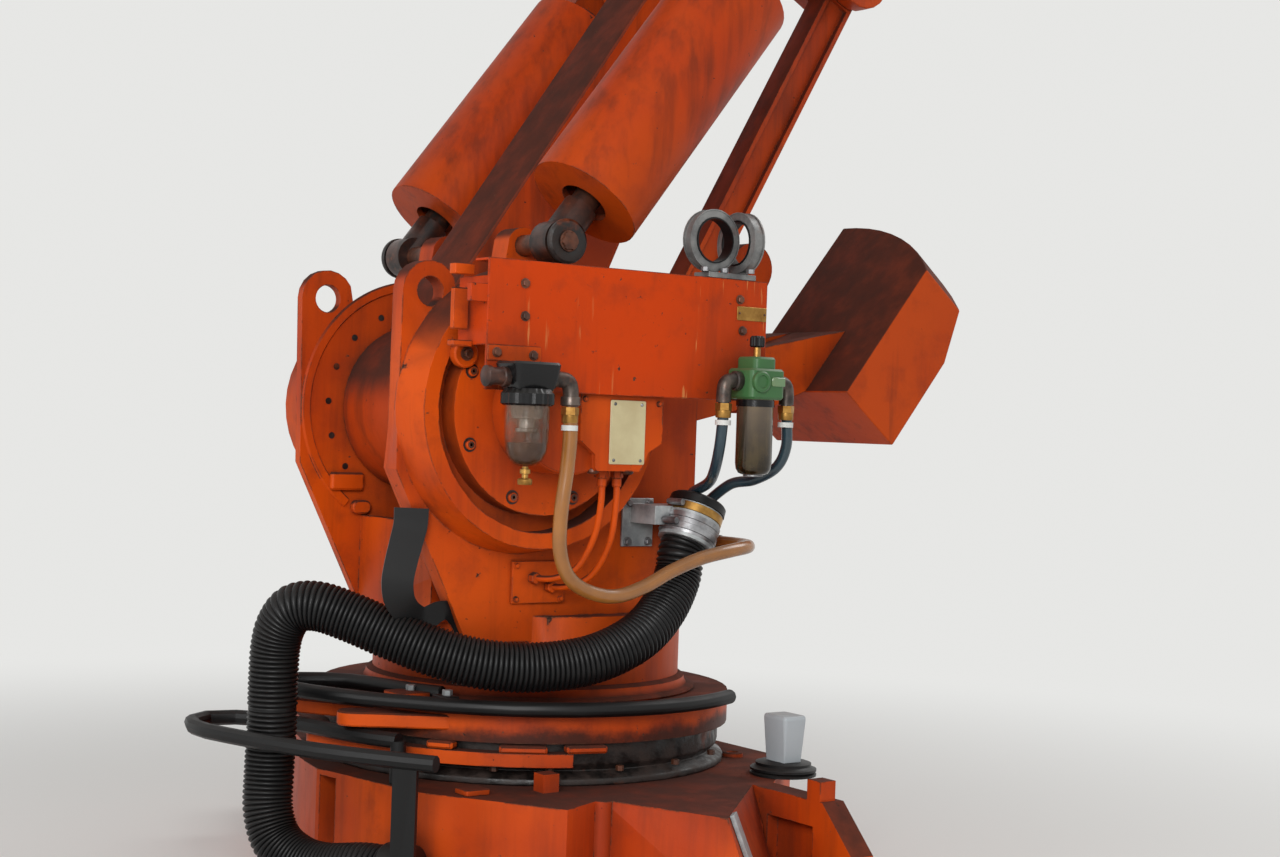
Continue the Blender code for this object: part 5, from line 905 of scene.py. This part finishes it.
def make_clamps():
    """Rims, liners and bolts on the two pipe clamps over the guard."""
    rims, liners = [], []
    for x, way in ((-0.092, np.array((0.0, 1.0, 0.0))), (-0.160, np.array((1.0, 0.0, 0.0)))):
        middle = np.array((x, 0.4275, 1.218))
        rims += [band(middle + way * d, way, 0.0538, 0.003, 0.0022) for d in (-0.0115, 0.0085)]
        liners.append(band(middle - way * 0.013, way, 0.0388, 0.026, 0.0024))
    extra("clamp_rims", rims, OLD_ZINC, closed=True)
    extra("clamp_liners", liners, BLACK, closed=True)
    heads = [nut((x, y, 1.1604), UP, 0.013, 0.008) for x, y in ((-0.110, 0.445), (-0.066, 0.445), (-0.150, 0.470))]
    extra("clamp_bolts", heads, STEEL)


def make_bracket():
    """The box bracket left of the guard: two strips, the framed plate between them and the bolted boss below."""
    cast("bracket_strips", [block((0.386, 0.385, 1.122), (0.424, 0.405, 1.140)),
                            block((0.386, 0.385, 1.002), (0.424, 0.405, 1.012)),
                            block((0.390, 0.385, 1.030), (0.420, 0.396, 1.100), 0.002, 0.002)])
    x, z = 0.362, 0.992
    cast("bracket_boss", [turned([(0.024, 0), (0.024, 0.014), (0.021, 0.017)], 36, (x, 0.3300, z), LEFT)])
    extra("boss_bolt", bolts([(x, 0.3470, z)], LEFT, 0.014, 0.007, 0.012), RUSTY)


QUARTERS = (45, 135, 225, 315)
WRIST_X, ARM_Z = 0.8463, 2.0539
TOOL_FACE = 1.0464


def make_wrist_motors():
    """Caps, screws and seams of the three motors at the upper arm's rear end."""
    cap = lid(0.053, 0.005, 0.005, 0.009, 0.015)
    seam = [(0.0590, 0.0), (0.0606, 0.0004), (0.0606, 0.0026), (0.0590, 0.003)]
    caps, screws, seams = [], [], []
    for y, z in ((-0.085, 2.0399), (0.085, 2.0399), (0.0, 2.1239)):
        caps.append(turned(cap, 40, (-0.8390, y, z), REAR))
        places = [(-0.8480, y + 0.040 * math.cos(a), z + 0.040 * math.sin(a)) for a in map(math.radians, QUARTERS)]
        screws += bolts(places, REAR, 0.008, 0.004, 0.0055)
        seams += [turned(seam, 48, (x, y, z), REAR) for x in (-0.668, -0.808)]
    cast("wrist_motor_caps", caps, "upper_arm")
    extra("wrist_motor_screws", screws, STEEL, "upper_arm")
    extra("wrist_motor_seams", seams, GREASE, "upper_arm", closed=True)


def make_upper_arm_fittings():
    """Painted shade for the tool face's threaded holes, and the screwed covers of wrist and elbow on both sides."""
    # Painted shade: flat dark discs in the grease finish stand for the threaded holes.
    hole_shade = [turned([(0.0210, 0), (0.0210, 0.0004)], 32, (TOOL_FACE, 0, ARM_Z), FRONT)]
    for a in map(math.radians, range(30, 390, 60)):
        at = (TOOL_FACE, 0.0600 * math.cos(a), ARM_Z + 0.0600 * math.sin(a))
        hole_shade.append(turned([(0.0050, 0), (0.0050, 0.0004)], 16, at, FRONT))
    extra("tool_face_hole_shade", hole_shade, GREASE, "upper_arm")
    cover = lid(0.078, 0.004, 0.002, 0.006, 0.030)
    covers, screws = [], []
    for side in (1, -1):
        way = (0, side, 0)
        covers.append(turned(cover, 48, (WRIST_X, side * 0.0948, ARM_Z), way))
        places = round_axis(WRIST_X, ARM_Z, 0.066, side * 0.1008, range(0, 360, 60))
        screws += bolts(places, way, 0.010, 0.004, 0.0065)
        low, high = sorted((side * 0.1498, side * 0.1550))
        covers.append(block((-0.605, low, 1.955), (-0.445, high, 2.150), 0.002, 0.001))
        places = [(x, side * 0.1549, z) for x in (-0.593, -0.525, -0.457) for z in (1.967, 2.138)]
        screws += bolts(places, way, 0.008, 0.003, 0.0055)
        screws += bolts([(-0.1092, side * 0.126, z) for z in (1.950, 2.158)], FRONT, 0.013, 0.008, 0.009)
    cast("wrist_and_elbow_covers", covers, "upper_arm", 40)
    extra("cover_screws", screws, STEEL, "upper_arm")


def make_far_motor():
    """The far motor's end cap and its four bolts."""
    y = -0.4151
    cast("far_motor_cap", [turned(lid(0.084, 0.004, 0.004, 0.007, 0.024), 56, (AXIS_X, y, AXIS_Z), RIGHT)])
    places = round_axis(AXIS_X, AXIS_Z, 0.096, y, QUARTERS)
    extra("far_motor_bolts", bolts(places, RIGHT, 0.013, 0.006, 0.009), STEEL)


def make_foot_bolts():
    """A washer and a nut on each side foot."""
    feet = []
    for y in (0.705, -0.705):
        feet.append(turned([(0.0290, 0), (0.0290, 0.004), (0.0280, 0.005), (0.0100, 0.005)], 36, (-0.105, y, 0.0448)))
        feet.append(nut((-0.105, y, 0.0495), UP, 0.036, 0.022))
    extra("foot_bolts", feet, RUSTY, "base")


def make_junction_box():
    """The near motor behind and the junction box in front: its stepped outline in X and Z, carried along Y."""
    start = 0.3303
    motor = [(0.1100, 0), (0.1100, 0.0815), (0.1065, 0.0850), (0.0020, 0.0850)]
    face = np.array([(0.0060, 0.9850), (0.0075, 0.8500), (0.0350, 0.8340), (0.0485, 0.8040), (0.0540, 0.8000),
                     (0.1430, 0.8000), (0.1465, 0.8040), (0.1475, 0.8275), (0.1797, 0.8520), (0.1827, 0.985)])
    depth = [(0.0, 0), (0.0, 0.0905), (0.0008, 0.0912), (0.0008, 0.0922), (0.0, 0.0930), (0.0, 0.1002),
             (0.0012, 0.1017)]
    box = put(stack(face * (-1, 1), depth), (0, start, 0), LEFT)
    stand_in("near_motor_and_box", "near_motor", [turned(motor, 72, (AXIS_X, start, AXIS_Z), LEFT), box], ORANGE)
    cast("box_screws", bolts(on_face(0.4319, (0.1735, 0.9225), (0.0160, 0.9190)), LEFT, 0.008, 0.004, 0.0055))
    foot = [(0.0100, 0), (0.0110, 0.002), (0.0110, 0.007), (0.0080, 0.010)]
    extra("box_feet", [turned(foot, 24, (x, 0.410, 0.8030), DOWN) for x in (0.138, 0.064)], RUSTY)


BACKGROUND, BACKGROUND_LEVEL = srgb(236, 236, 234), 0.95


def make_floor():
    """A wide pale floor that keeps the shadow and, far from the robot, turns into the background's even tone."""
    size = 30.0
    mesh = bpy.data.meshes.new("floor")
    corners = [(-size, -size, 0), (size, -size, 0), (size, size, 0), (-size, size, 0)]
    mesh.from_pydata(corners, [], [(0, 1, 2, 3)])
    floor = bpy.data.objects.new("floor", mesh)
    bpy.context.scene.collection.objects.link(floor)
    f = Finish("pale_floor")
    near = f.shader(srgb(236, 234, 230), 0.8)
    glow = f.add("ShaderNodeEmission", {}, {"Color": BACKGROUND, "Strength": BACKGROUND_LEVEL})
    reach = f.add("ShaderNodeVectorMath", {"operation": "LENGTH"}, {0: f.place}, "Value")
    share = f.step(reach, 0.9, 3.6) * f.background_rays()
    f.shown(f.add("ShaderNodeMixShader", {}, {0: share, 1: near, 2: glow}), "ShaderNodeOutputMaterial")
    mesh.materials.append(f.material)


def make_room():
    """A soft even room for the light, and the plain background wherever it is seen."""
    world = bpy.data.worlds.new("soft_room")
    bpy.context.scene.world = world
    world.use_nodes = True
    room = Nodes(world.node_tree)
    light = room.add("ShaderNodeBackground", {}, {"Color": srgb(236, 238, 240), "Strength": 0.42})
    seen = room.add("ShaderNodeBackground", {}, {"Color": BACKGROUND, "Strength": BACKGROUND_LEVEL})
    both = room.add("ShaderNodeMixShader", {}, {0: room.background_rays(), 1: light, 2: seen})
    room.shown(both, "ShaderNodeOutputWorld")


def make_lamps():
    """Three round soft lamps: their place, what they aim at, their width and their power."""
    for name, place, aim, size, watts in (
        ("key_lamp", (2.7, 3.3, 2.0), (0.0, 0.1, 0.65), 1.8, 104),
        ("left_lamp", (4.0, 0.4, 2.0), (0.1, 0.0, 0.8), 1.6, 28),
        ("rear_lamp", (-3.2, 0.5, 3.6), (0.0, 0.0, 1.1), 2.0, 50),
    ):
        lamp = bpy.data.lights.new(name, "AREA")
        lamp.shape = "DISK"
        lamp.size = size
        lamp.energy = watts
        piece = bpy.data.objects.new(name, lamp)
        bpy.context.scene.collection.objects.link(piece)
        piece.location = place
        piece.rotation_mode = "QUATERNION"
        piece.rotation_quaternion = (Vector(aim) - Vector(place)).to_track_quat("-Z", "Y")


CAMERA_PLACE = (2.06534, 3.22933, 0.87484)
HEADING, ROLL = math.radians(35.7), math.radians(2.0)
LENS = 55.125  # mm, on a sensor 36 mm wide


def make_camera():
    """The camera where the picture was taken from: level, turned by the heading and rolled a little."""
    camera = bpy.data.objects.new("camera", bpy.data.cameras.new("camera"))
    bpy.context.scene.collection.objects.link(camera)
    camera.data.sensor_width = 36.0
    camera.data.lens = LENS
    level = Vector((-math.cos(HEADING), math.sin(HEADING), 0.0))
    back = Vector((math.sin(HEADING), math.cos(HEADING), 0.0))
    up = Vector(UP)
    right = level * math.cos(ROLL) + up * math.sin(ROLL)
    over = up * math.cos(ROLL) - level * math.sin(ROLL)
    turn = Matrix((right, over, back)).transposed().to_4x4()
    camera.matrix_world = Matrix.Translation(CAMERA_PLACE) @ turn
    bpy.context.scene.camera = camera
    bpy.context.scene.view_settings.view_transform = "Standard"


for step in (make_floor, make_room, make_lamps, make_camera, dress_solids, make_hoses, make_bolts, make_filter,
             make_hose_tops, make_oiler, make_guard_fittings, make_coupling, make_pins, make_base_fittings,
             make_flange_fittings, make_strap, make_clamps, make_bracket, make_wrist_motors,
             make_upper_arm_fittings, make_far_motor, make_foot_bolts, make_junction_box):
    step()
